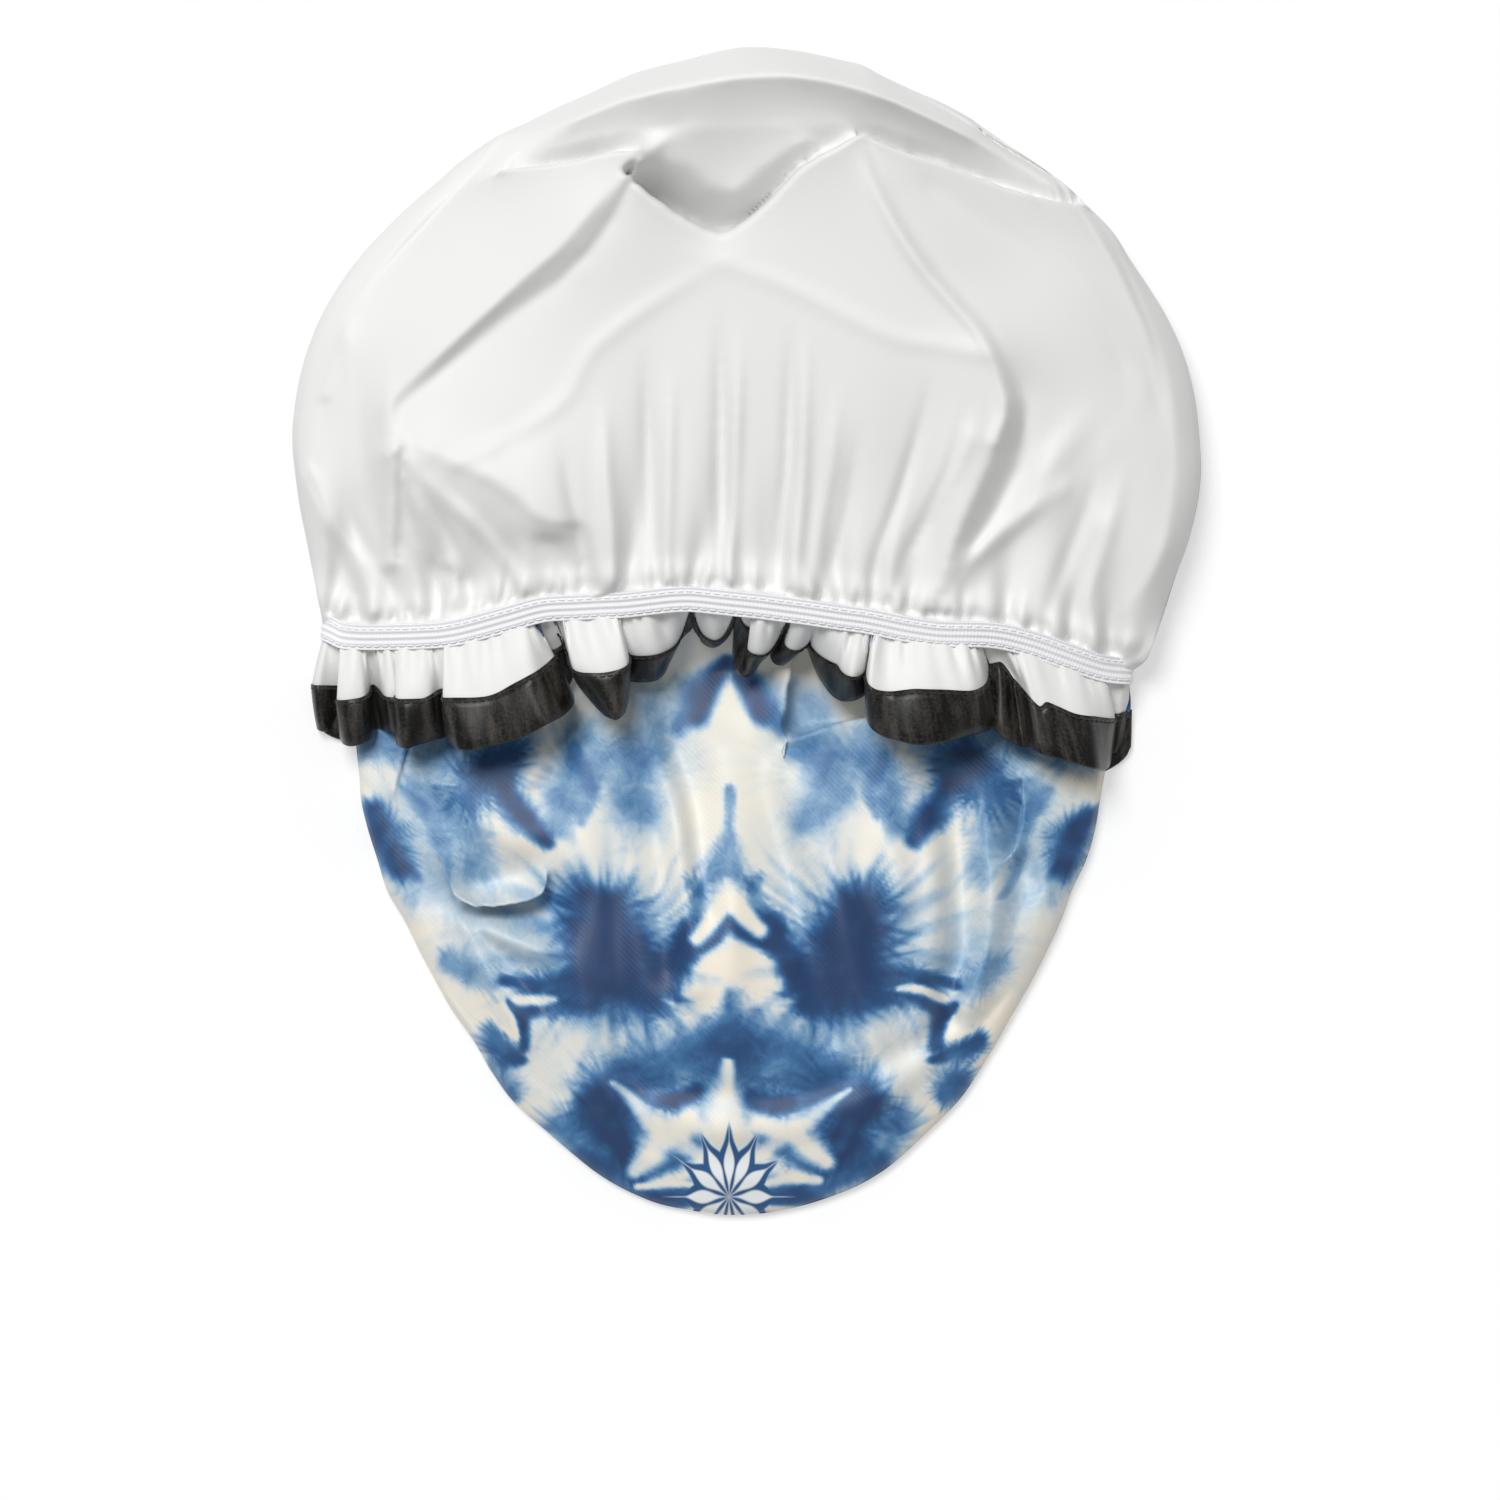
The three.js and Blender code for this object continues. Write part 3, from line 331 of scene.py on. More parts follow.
# Soft swells and dips of the film between its folds: the place and the height of each, and their width
FILM_SWELLS = (
    (95, 72, -2.5), (82, 112, -2.5), (100, 40, -2), (38, 40, -2), (66, 62, -1.5), (-102, 56, -2.5),
    (-112, 124, -2), (-90, 142, -2.5), (-52, 132, 2.5), (-58, 84, -1.5), (-24, 108, -1.5), (-20, 168, 2.5),
)
SWELL_SIZE = 21.0

# The satin's folds, in the same form
SATIN_LIPS = {
    "middle_left": (1, (
        (-37.7, -17.8), (-35.1, -23.5), (-33.1, -29.1), (-29.4, -41.7), (-26.8, -49.9), (-24.8, -56.2),
        (-22.8, -65.1), (-21.8, -76.4), (-20.5, -86), (-18.9, -91.6), (-17.2, -97.2),
    ), (17, 22.5, 26, 25), (13.5, 14, 20, 23.5), (6,)),
    "middle_right": (1, (
        (18.2, -5.3), (16.9, -10.9), (14.9, -19.5), (13.9, -26.8), (12.9, -34), (11.9, -41.7),
    ), (18, 20, 22.5), (9.5, 6, 15), (TUCKED,)),
    "right_pouch": (1, (
        (11.9, -42.3), (12.6, -39.3), (14.9, -37), (17.9, -34.7), (21.5, -32.7), (26.1, -31.2),
        (31.1, -30.1), (39.7, -28.6),
    ), (24, 22), (20, 7.5, 5.5, 8.5), (TUCKED,)),
    "right_pouch_side": (-1, (
        (11.9, -42.3), (12.6, -47.9), (14.9, -58.9), (18.2, -70.1), (21.5, -82.7), (23.8, -92.3),
        (27.1, -102.9),
    ), (24, 27, 25.5), (20.5, 21, 24.5), (7,)),
    "left_hollow": (-1, (
        (-100.9, -78), (-98.9, -84.3), (-96.3, -89.3), (-93.6, -90.9), (-90, -92.3), (-83.7, -92.9),
        (-77.4, -91.9), (-71.1, -90.6), (-66.5, -88.6), (-64.5, -83),
    ), (21, 25.5, 26.5), (17, 5, 3.5, 5, 17), (TUCKED,)),
    "left_vertical": (1, (
        (-66.8, -28.8), (-66.8, -38.3), (-66.8, -45), (-69.1, -47.6), (-73.1, -51.6),
    ), (18, 22), (15.5, 21), (4,)),
    "right_hollow": (-1, (
        (90.3, -51.9), (90.6, -57.5), (90.6, -62.8), (89.6, -68.1), (88.7, -72.4), (85.3, -76.1),
    ), (18, 20.5), (10, 7.5, 15.5), (TUCKED,)),
    "left_thin": (1, (
        (-111.5, -38.3), (-113.5, -44), (-115.4, -49.9), (-116.8, -54.2),
    ), (12, 14), (9.5, 13), (TUCKED,)),
}
SATIN_LINES = {
    "bottom_swell": ((
        (-97.3, -122.7), (-81.4, -142.6), (-61.5, -155.8), (-35.1, -172.3), (-6, -182.2), (21.2, -175.6),
        (47.6, -162.4), (70.8, -140.9), (85, -122.7),
    ), (9, 12, 12, 12, 9)),
    "upper_left": ((
        (-107.8, -43.3), (-91.3, -46.6), (-74.8, -56.5),
    ), (14, 20.5)),
    "tension_a": ((
        (-98.9, -84.3), (-90, -94.9), (-83.7, -98.9), (-74.1, -103.2), (-67.2, -105.8),
    ), (22, 25)),
    "tension_b": ((
        (-97.3, -91.3), (-88, -104.5), (-79.7, -117.7), (-71.5, -132.6),
    ), (20.5, 21.5, 19)),
    "tension_valley": ((
        (-91.3, -97.9), (-81.4, -106.2), (-71.5, -113.4),
    ), (17, 18)),
    "hollow_floor": ((
        (-91.3, -86.3), (-81.4, -84), (-71.5, -82),
    ), (8, 9)),
    "hollow_rise": ((
        (-93.6, -65.1), (-88, -67.8), (-81, -70.7), (-71.5, -70.1), (-62.2, -71.1),
    ), (22, 25)),
    "crease_left": ((
        (-73.1, -51.6), (-77.4, -55.9), (-83, -62.5), (-88.7, -69.1),
    ), (22, 20)),
    "left_mid": ((
        (-103.2, -70.4), (-111.1, -56.5), (-114.5, -73.1),
    ), (16, 11)),
    "mid_left_swell": ((
        (-53.3, -40), (-51.6, -63.2), (-48.3, -89.6), (-45, -116.1),
    ), (24, 27.5, 25.5)),
    "mid_swell": ((
        (-10.3, -36.7), (-6.9, -56.5), (-5.3, -79.7), (-5.3, -106.2), (-6, -139.2),
    ), (23.5, 28, 28, 21.5)),
    "right_dark": ((
        (24.5, -20.2), (34.4, -20.2),
    ), (10,)),
    "right_pouch_in": ((
        (17.9, -43.3), (27.8, -40), (34.4, -43.3),
    ), (23,)),
    "right_swell": ((
        (31.1, -56.5), (44.3, -69.8), (50.9, -89.6),
    ), (27, 28)),
    "right_groove": ((
        (65.2, -53.2), (66.5, -59.5), (68.5, -75.7), (70.1, -89), (72.1, -101.9), (72.8, -110.5),
    ), (15, 16, 13)),
    "right_groove_side": ((
        (60.9, -56.5), (63.5, -75.7), (65.5, -91.3), (67.5, -106.2),
    ), (22, 24, 21)),
    "right_fold": ((
        (79.1, -53.2), (81.4, -76.4), (81.7, -89.6), (80.7, -106.2), (77.4, -122.7),
    ), (22.5, 23.5, 16.5)),
    "right_dip": ((
        (89, -79), (93.3, -83), (97.3, -85.7),
    ), (12, 11)),
    "right_edge": ((
        (103.9, -56.5), (100.6, -73.1), (97.9, -91.3), (92.3, -106.2),
    ), (15, 15, 12)),
    "left_edge": ((
        (-119.4, -56.5), (-116.1, -73.1), (-109.5, -89.6), (-101.2, -106.2),
    ), (11, 12)),
    "near_ring_l": ((
        (-121.1, -23.5), (-101.2, -25.1), (-81.4, -23.5), (-61.5, -20.2),
    ), (8, 13)),
    "near_ring_m": ((
        (-48.3, -20.2), (-28.4, -13.5), (-8.6, -11.9), (4.6, -11.9),
    ), (12, 12, 12)),
    "near_ring_r": ((
        (24.5, -10.2), (44.3, -16.8), (64.2, -23.5), (84, -26.8), (103.9, -33.4), (115.4, -40),
    ), (10, 14, 9)),
}

# The frill's front as it looks from above, from left to right: the place across the ring at which it is
# gathered, where its film ends (two numbers), where its hem lies (two), and how far it stands up
FRILL_STATIONS = (
    (-140.3, -143.6, -18.2, -141.6, -32.7, 0), (-139.6, -142.6, -18.5, -140.9, -33.4, 0.5),
    (-138.6, -140.3, -18.5, -138.9, -33.4, 1), (-137.3, -137.6, -18.5, -136.6, -32.4, 0.8),
    (-136.3, -135, -18.5, -134.3, -30.7, 0), (-135.3, -132.3, -18.2, -131, -28.8, -1),
    (-135, -132.7, -20.2, -132, -30.7, 0), (-134.6, -135, -22.5, -134, -35, 2.5),
    (-134, -135.3, -23.3, -133.3, -37.4, 4), (-132.7, -133.3, -23.5, -132, -38.3, 4.5),
    (-131, -130.3, -23.1, -129.7, -38.3, 4.5), (-129.3, -127.7, -22.6, -126.7, -37.4, 4),
    (-127.7, -125.7, -21.5, -124, -35.7, 3), (-126.7, -124.7, -19.8, -122.4, -33.4, 1),
    (-125.7, -124.4, -18.5, -123.1, -32.1, -0.5), (-124.7, -123.1, -18.2, -121.7, -32.4, -1),
    (-123.4, -121.4, -19.5, -119.7, -33.1, 0), (-122.1, -119.7, -21.8, -118.1, -34, 1.5),
    (-120.4, -117.8, -22.5, -115.8, -34.7, 2), (-118.8, -115.4, -22.1, -113.8, -34.4, 1),
    (-117.8, -113.8, -20.8, -112.1, -33.4, -0.5), (-117.4, -114.5, -21.1, -113.5, -35, 0.5),
    (-116.8, -116.1, -22.1, -115.4, -37, 3), (-115.4, -115.1, -23, -114.5, -38.7, 4.5),
    (-113.5, -112.5, -23.1, -112.1, -39.2, 4.8), (-110.8, -109.5, -23, -109.2, -38.2, 4.3),
    (-108.2, -106.8, -22.8, -106.2, -37.4, 3.5), (-105.9, -104.5, -21.6, -102.9, -36.4, 2.5),
    (-104.2, -102.5, -20.2, -100.2, -35.5, 1), (-102.5, -100.6, -19.5, -98.2, -35, 0),
    (-101.2, -98.2, -19.5, -95.9, -34.4, -1), (-100.9, -98.9, -20.5, -97.3, -35.7, 0),
    (-100.6, -100.2, -21.8, -99.2, -34.7, 2.5), (-99.6, -100.1, -22.6, -97.9, -37.4, 4.5),
    (-97.3, -97.3, -22.7, -95.6, -39.2, 5.2), (-94.3, -93.6, -22.7, -92.3, -39.6, 5.5),
    (-91.3, -89.3, -22.6, -88, -39, 5.5), (-88, -85.3, -22.1, -83.4, -38, 5),
    (-84.7, -81.7, -20.8, -79.1, -37, 4.5), (-81.4, -77.7, -18.5, -74.1, -35.2, 4.5),
    (-78.1, -73.8, -16.4, -69.1, -32.7, 4.8), (-75.1, -69.8, -14.1, -64.8, -30.4, 5),
    (-72.8, -66.5, -11.6, -60.5, -28.1, 5), (-71.5, -64.2, -9.5, -57.7, -25.4, 4.5),
    (-71.1, -63.5, -8.7, -57.2, -23.5, 3), (-70.8, -64.2, -7.6, -57.9, -20.8, 1),
    (-70.5, -66.5, -6.3, -60.5, -18.2, -1), (-69.8, -69.1, -6.3, -64.2, -16.8, -1.5),
    (-68.8, -69.8, -6.9, -65.5, -20.2, -1.5), (-67.8, -65.5, -6.9, -60.9, -20.2, -0.5),
    (-66.8, -62.2, -5.9, -58.6, -18.2, 0), (-65.8, -60.5, -3.9, -57.2, -14.2, 0.5),
    (-65.2, -61.2, -1.6, -57.6, -10.9, 0.5), (-64.5, -63.2, 1.3, -59.2, -7.6, 0),
    (-63.8, -62.9, 1, -60.9, -6.9, -1), (-62.9, -60.5, -3.6, -59.5, -12.9, -0.5),
    (-62.2, -58.9, -7.6, -58.9, -14.2, 1), (-61.5, -58.4, -10.2, -57.9, -12.9, 2.5),
    (-60.5, -57.2, -13, -55.9, -17.5, 4), (-58.6, -54.9, -14.2, -51.6, -23.1, 4.8),
    (-55.6, -51.6, -14.5, -47.6, -27.4, 5.2), (-52.3, -48, -14.5, -44.7, -29.4, 5.4),
    (-49, -44.7, -14, -42.3, -29.4, 5.2), (-46, -41.7, -13.2, -40.4, -27.4, 4.8),
    (-44, -39.5, -11.9, -39, -22.1, 4), (-43, -38.7, -10.2, -38.7, -16.8, 2.5),
    (-42.7, -39, -8.2, -38.4, -14.2, 1), (-42.5, -40.4, -6.9, -37.7, -12.9, 0),
    (-42.3, -40.4, -7.6, -40.4, -16.2, 0), (-41.7, -39, -8.1, -39, -16.8, 0.8),
    (-40, -36.7, -8.6, -36.4, -17.2, 1.4), (-37.4, -33.1, -8.7, -32.7, -17.2, 2),
    (-34.4, -29.4, -8.2, -29.4, -16.5, 2), (-31.4, -26.5, -7.1, -27.1, -14.2, 1.8),
    (-28.4, -23.8, -5.4, -25.5, -10.6, 1.5), (-25.5, -21.8, -2.6, -23.5, -6.3, 1.2),
    (-22.8, -20.2, 1.7, -21.2, -2.6, 0.8), (-20.5, -19, 5.6, -18.5, -0.3, 0.3),
    (-18.9, -18.5, 8, -17.5, 0.7, 0), (-17.5, -17.5, 7, -16.2, -1.6, 0.3),
    (-16.2, -16.2, 2.3, -14.9, -3.6, 0.8), (-14.6, -14.2, -1.6, -12.9, -5.3, 1.2),
    (-12.6, -10.9, -3.5, -10.6, -5.8, 1.5), (-9.9, -8.3, -2.8, -8.3, -4.6, 1.3),
    (-7.6, -6.3, 0, -6, -2.3, 1), (-5.6, -4.6, 3.7, -4.3, 1, 0.5), (-4.3, -3.6, 6, -3.3, 5, 0),
    (-3.3, -2, 4.7, -4, -0.3, 0.3), (-2.3, -0.7, 2, -4.1, -5.3, 0.8),
    (-1.3, 1.3, 0.7, -4.1, -8.6, 1.2), (-0.3, 4.3, 0.2, -3.6, -11.6, 1.2),
    (0.7, 4, -1.6, -2.6, -13.9, 1.5), (1.7, 1.3, -4.3, -1.3, -15.4, 2),
    (2.6, 0.5, -6.3, 0.3, -15.5, 2.4), (4.3, 2.3, -7.9, 2.3, -14.4, 2.6),
    (6, 5.3, -8.4, 4.3, -11.2, 2.6), (7.9, 7.9, -7.1, 6.3, -8.6, 2.2),
    (9.9, 10.3, -3.6, 8.6, -6.9, 1.6), (11.9, 12.2, 0.4, 10.9, -3.6, 1),
    (13.6, 13.9, 3.2, 12.9, -0.3, 0.3), (14.6, 15.2, 2.7, 11.2, -3.6, 0),
    (15.2, 13.9, -1, 8.6, -6.9, 0.6), (15.9, 12.9, -3.6, 8.4, -9.2, 1.2),
    (16.9, 13.2, -5.3, 9.6, -11.1, 1.8), (18.2, 14.9, -6.6, 11.6, -11.7, 2),
    (19.8, 17.2, -6.9, 13.6, -10.7, 2), (21.5, 19.2, -5.9, 15.5, -8.4, 1.8),
    (22.8, 20.5, -4.8, 18.2, -6.9, 1.4), (23.8, 21.2, -3.9, 19.8, -5.3, 0.8),
    (24.8, 21.5, -5.3, 20.8, -6.9, 0.5), (26.1, 23.2, -7.3, 22.2, -10.9, 1.2),
    (27.8, 25.5, -9.1, 24.1, -15.2, 2), (29.8, 28.1, -10.6, 26.8, -19.5, 2.8),
    (31.8, 30.3, -11.6, 29.1, -22.1, 3.2), (33.7, 31.4, -13.4, 31.4, -23.4, 3.6),
    (35.7, 33.1, -15, 33.7, -23.6, 4), (37.7, 35.4, -15.7, 36.1, -23.2, 4),
    (39.7, 37.7, -15.2, 38.4, -22, 3.6), (41.3, 39.7, -13.2, 41, -19.8, 2.5),
    (42, 41, -11.2, 42.7, -17.5, 0), (42.3, 40.7, -12.9, 41.3, -20.2, 1),
    (43, 39.7, -14.2, 39.9, -25.1, 3.5), (43.7, 40.2, -17.2, 40.2, -29.4, 4.8),
    (45, 41.7, -19.3, 41.7, -32.6, 5.6), (47, 44.3, -20.3, 44.7, -34.9, 6),
    (49.6, 48, -20.6, 48.3, -36, 6), (52.6, 51.9, -20.2, 52.6, -37, 5.8),
    (55.6, 55.6, -19.8, 56.6, -37.7, 5.8), (58.9, 59.5, -19.9, 60.9, -37.5, 6),
    (62.2, 63.5, -20, 65.2, -36.9, 6), (65.5, 67.5, -20.1, 69.5, -36, 6),
    (68.8, 71.5, -20.4, 73.4, -35, 6), (71.5, 74.8, -20.3, 77.1, -34.2, 5.8),
    (73.8, 77.7, -19.2, 79.7, -33.4, 5.2), (75.4, 79.6, -17.2, 81.4, -32.2, 4),
    (76.4, 80.1, -13.9, 81.9, -29.4, 2.5), (77.1, 79.9, -10.9, 81.4, -25.1, 1),
    (77.4, 78.1, -8.6, 79.1, -21.8, -0.5), (78.1, 78.7, -10.2, 80.1, -27.4, -1),
    (78.7, 80.7, -11.2, 81.4, -31.4, 0), (79.7, 82.7, -10.9, 83.4, -34, 0.6),
    (81, 84.4, -10.9, 85.7, -35.9, 1.2), (82.7, 86.3, -13.2, 88.7, -37.4, 1.6),
    (84.7, 88.7, -15.9, 91.6, -38.5, 2), (87, 91.3, -19, 94.3, -39.5, 2.2),
    (89.3, 93.9, -22.1, 96.9, -40.5, 2.4), (91.6, 96.3, -25, 99.9, -41.3, 2.2),
    (93.3, 97.6, -25.4, 102.2, -42, 2.6), (95.3, 99.2, -24.1, 104.5, -42.7, 3.4),
    (98.2, 101.9, -25.1, 107.2, -43.4, 3.6), (101.6, 104.9, -26.4, 109.8, -44.1, 3.6),
    (104.9, 108.2, -27.8, 112.5, -45, 3.6), (108.5, 111.8, -28.6, 114.8, -45.6, 3.6),
    (112.1, 115.1, -28.9, 116.8, -46, 3.6), (115.8, 118.4, -29.3, 118.4, -46.3, 3.4),
    (118.4, 121.1, -29.5, 119.6, -45.6, 2.8), (120.1, 122.1, -29.3, 120.4, -43.3, 1.5),
    (120.7, 121.4, -28.1, 119.4, -40.7, 0), (121.7, 121.1, -27.9, 119.7, -40.7, -0.5),
    (123.4, 123.1, -27.8, 121.7, -40.7, 0), (125, 124.7, -27.3, 123.7, -40.6, 0.5),
    (126.7, 126.4, -26.8, 125.7, -40.1, 0.5), (128, 126.9, -26.4, 126.7, -38.7, 0),
)

# Long soft ridges and grooves of the satin, as those of the film
SATIN_RIBS = (
    (3.2, 6.0, ((-24, -20), (-21, -70), (-17, -118))),
    (-3.0, 6.0, ((-33, -26), (-30, -70), (-26, -112))),
    (3.2, 6.5, ((18, -42), (29, -85), (40, -125), (46, -152))),
    (-3.0, 6.0, ((9, -46), (17, -90), (27, -135))),
    (2.6, 5.0, ((60, -50), (62, -95), (57, -132))),
    (-3.0, 5.0, ((69, -50), (71, -95), (66, -128))),
    (2.6, 5.0, ((79, -50), (81, -90), (75, -125))),
    (-2.4, 5.0, ((90, -58), (91, -88), (84, -115))),
    (2.4, 7.0, ((-6, -50), (-6, -110), (-6, -165))),
    (-2.4, 6.0, ((-46, -50), (-43, -105), (-36, -152))),
    (2.4, 6.0, ((-58, -80), (-55, -120), (-46, -155))),
    (1.8, 3.5, ((-97, -90), (-84, -100), (-66, -107))),
    (-1.8, 3.5, ((-96, -95), (-82, -110), (-68, -124))),
    (1.8, 3.5, ((-95, -100), (-84, -120), (-74, -138))),
    (2.0, 6.0, ((-66, -146), (-34, -160), (0, -166), (35, -160), (62, -142))),
    (-1.8, 5.0, ((-72, -136), (-36, -148), (0, -154), (36, -147), (68, -130))),
    (2.0, 5.0, ((44, -40), (50, -80), (52, -120))),
    (-2.2, 5.0, ((-110, -45), (-100, -62), (-84, -72))),
)

# The tie-dye, which is alike on both sides of a line down the satin and on both sides of its rim. The line
# lies at so many millimetres across the cap, and the star's middle so far down it.
DYE_LINE = -5.6
DYE_POLE = -187.8

# Each mark is how strongly it dyes, or keeps the dye off if below 0, how ragged its edge is, and its spots:
# how far out from the line, how far up from the pole, and how wide
DYE_MARKS = {
    "haze_top": (0.34, 0.1, ((26.1, 162.6, 8.6), (29.4, 149.4, 8.6))),
    "haze_left": (0.55, 0.25, ((46, 147.7, 9.9), (54.3, 134.5, 7.9), (55.9, 121.3, 4.6))),
    "haze_mid": (0.42, 0.2, ((29.4, 144.4, 8.6), (34.4, 134.5, 8.6), (26.1, 126.2, 4.6))),
    "haze_far": (0.52, 0.3, ((69.1, 149.4, 8.6), (79.1, 144.4, 15.2), (95.6, 149.4, 11.2))),
    "haze_side": (0.42, 0.3, ((98.9, 131.2, 6.6), (85.7, 121.3, 7.3), (82.4, 109.7, 6.6))),
    "haze_edge": (0.55, 0.2, ((120.4, 149.4, 7.3), (110.5, 147.7, 6))),
    "side_stripe": (0.35, 0.2, ((105.5, 134.5, 2.6), (95.6, 114.7, 3.3), (91.6, 101.4, 1.7))),
    "far_low": (0.22, 0.2, ((109.5, 104.7, 4.6), (107.2, 98.1, 2.6))),
    "haze_core": (0.2, 0.3, ((24, 150, 16), (30, 128, 12))),
    "haze_flank": (0.17, 0.4, ((60, 96, 14), (84, 84, 14))),
    "haze_low": (0.2, 0.5, ((52, 46, 18), (30, 52, 20))),
    "haze_rim": (0.2, 0.4, ((106, 128, 14), (98, 104, 12))),
    "shoulder_blot": (0.8, 0.5, ((74.1, 143.8, 7.3), (79.1, 141.1, 5.3))),
    "shoulder_rays": (0.55, 0.9, ((82.4, 137.8, 7.9), (87.3, 131.2, 4.6))),
    "diagonal": (0.9, 0.15, ((73.4, 135.8, 3.6), (67.2, 126.2, 5.6), (59.9, 116, 3))),
    "inner_diagonal": (0.4, 0.2, ((50.9, 146.1, 4), (47.6, 134.5, 3.3), (49.3, 124.6, 1.7))),
    "edge_blot": (0.9, 0.3, ((117.4, 126.2, 4.6), (113.5, 117.3, 6.9), (109.5, 108.7, 4.6))),
    "top_v": (0.98, 0.05, ((0.7, 179.2, 2.6), (8.3, 168.2, 5.6), (10.9, 160.3, 5))),
    "top_v_side": (0.55, 0.15, ((12.9, 167.6, 5.3), (17.5, 155, 3.3))),
    "spine": (0.55, 0.3, ((0, 134.5, 1.3), (0, 121.3, 3), (0, 108, 6.6))),
    "spine_feather": (0.5, 0.7, ((7.9, 103.1, 3.3), (11.6, 104.7, 2.3))),
    "flank": (0.55, 0.4, ((8.9, 100.4, 3), (12.9, 88.9, 4))),
    "chevron": (0.95, 0.12, ((0, 90.8, 1.7), (6.9, 85.5, 2.6), (14.9, 81.6, 3.6))),
    "link": (0.95, 0.35, ((14.9, 89.8, 4.3), (16.9, 81.6, 5.3), (22.2, 73.3, 6.6))),
    "big_blot_top": (1, 0.45, ((42.7, 94.1, 11.2), (40.7, 86.5, 13.2))),
    "big_blot": (1, 0.42, ((38.7, 79.9, 15.2), (36.7, 73.3, 15.2))),
    "big_blot_foot": (0.8, 0.5, ((29.4, 68.3, 9.9), (26.1, 63.4, 5.3))),
    "big_blot_haze": (0.42, 0.6, ((39.4, 81.6, 24.5),)),
    "band": (0.8, 0.35, ((49.3, 72.3, 7.3), (60.9, 70.3, 5), (74.8, 70.3, 2))),
    "band_low": (0.65, 0.3, ((46, 65.7, 4), (59.2, 63.1, 3), (69.1, 61.1, 2))),
    "motif": (0.92, 0.2, ((73.1, 63.1, 1.3), (67.8, 58.4, 3), (68.8, 50.1, 2.6))),
    "motif_arm": (0.7, 0.3, ((67.8, 61.1, 2), (59.2, 64, 1.7))),
    "edge_band": (0.85, 0.3, ((81, 51.8, 4), (75.8, 47.8, 4.6), (69.1, 45.2, 2))),
    "edge_low": (0.7, 0.4, ((75.8, 36.9, 7.3), (70.8, 32, 4))),
    "left_haze": (0.42, 0.4, ((89, 76.6, 4.6), (80.7, 70, 5.3))),
    "low_spine_tip": (0.62, 0.35, ((0, 70, 1), (0, 61.7, 4.6), (0, 51.8, 9.3))),
    "low_spine": (0.7, 0.2, ((0, 48.5, 11.2), (0, 36.9, 13.2))),
    "low_field": (0.62, 0.3, ((12.9, 48.5, 9.9), (24.5, 40.2, 11.2), (29.4, 33.6, 8.6))),
    "low_blue": (0.6, 0.6, ((36.1, 36.9, 11.2), (42.7, 30.3, 9.9))),
    "low_blot": (1, 0.25, ((44, 30.3, 7.9), (38.7, 22, 9.9), (33.4, 12.8, 7.9))),
    "low_blot_edge": (0.6, 0.4, ((55.9, 23.7, 6.6), (46, 12.1, 7.9))),
    "low_dark": (1, 0.3, ((9.6, 34.3, 3), (15.2, 31, 4), (21.5, 31.3, 2.6))),
    "rim_band": (0.7, 0.2, ((50.9, 12.1, 4), (36.1, 5.5, 5), (20.2, -2.4, 5.3))),
    "pole_field": (0.45, 0.1, ((0, 10.5, 9.9),)),
    "pole_left": (0.8, 0.2, ((12.9, 18.7, 4.6), (22.8, 12.1, 5.3), (29.4, 7.1, 3.3))),
    "pole_side": (0.75, 0.2, ((9.6, 0.5, 6.6), (22.8, -1.1, 4))),
    "white_chevron": (-0.97, 0.1, ((0, 98.1, 1.7), (5.6, 92.2, 2.6), (11.2, 86.5, 2.6))),
    "white_above": (-0.6, 0.1, ((0, 104.7, 0.7), (0, 96.5, 3))),
    "under_chevron": (-0.8, 0.2, ((0, 78.3, 3.3), (0, 70, 2.6))),
    "white_leaf_far": (-0.85, 0.2, ((70.8, 65, 1), (60.9, 66.4, 2), (55.9, 67, 1))),
    "white_leaf": (-0.85, 0.2, ((72.4, 59.1, 1), (71.8, 53.5, 1.7), (77.1, 55.1, 1))),
    "lobe": (-0.86, 0.08, ((0, 44.5, 1.3), (0, 32, 6.3), (0, 18.7, 5.6))),
    "lobe_side": (-0.85, 0.1, ((12.2, 24.7, 4.6), (16.2, 22, 2.6))),
    "ray_left": (-0.7, 0.1, ((4.6, 8.8, 1.3), (21.2, 22, 4), (38.7, 35.9, 1))),
    "lobe_low": (-0.9, 0.1, ((26.1, 14.8, 5), (30.8, 9.5, 3))),
    "lobe_out": (-0.9, 0.1, ((29.4, 3.8, 1.3), (20.2, 4.5, 2), (9.6, 2.8, 1))),
    "gap_low": (-0.5, 0.5, ((50.9, 51.8, 6.6), (60.9, 41.9, 6))),
}

# The star at the pole: its petals, how much taller than wide it is, how far a petal and the blue points
# reach, and half of a petal's width
STAR_PETALS = 12
STAR_STRETCH = 1.28
STAR_PETAL = 15.2
STAR_REACH = 19.5
STAR_BELLY = 1.7

# Colours of the satin by its share of indigo
INDIGO = (
    (0.0, "#F5EDDC"), (0.14, "#E2E4E0"), (0.32, "#B0C7D8"), (0.5, "#7AA1C3"), (0.68, "#4577A8"),
    (0.86, "#2A5686"), (1.0, "#213E69"),
)

# The ring as it lies: heights of its middle at its ends, over its front and along its back, how round it
# leaves its ends, how far its face leans, and how its back faces the table
RING_SIDE_HEIGHT = 10.0
RING_LOFT = 45.0
RING_FLOOR = 2.2
RING_RIM_POWER = 0.6
RING_BACK_POWER = 0.3
RING_LEAN = 0.42
RING_BACK_WIDTH = (0.92, -0.1, -0.25)
RING_PLACES = np.linspace(0.0, 1.0, 200)
# Points drawn along the ring's front and its back, how many of them at each end are evened out on both sides,
# and the rounds in which their places and then all widths are evened out
RING_COUNTS = (420, 200)
RING_ENDS = 3
RING_ROUNDS = (4, 8)

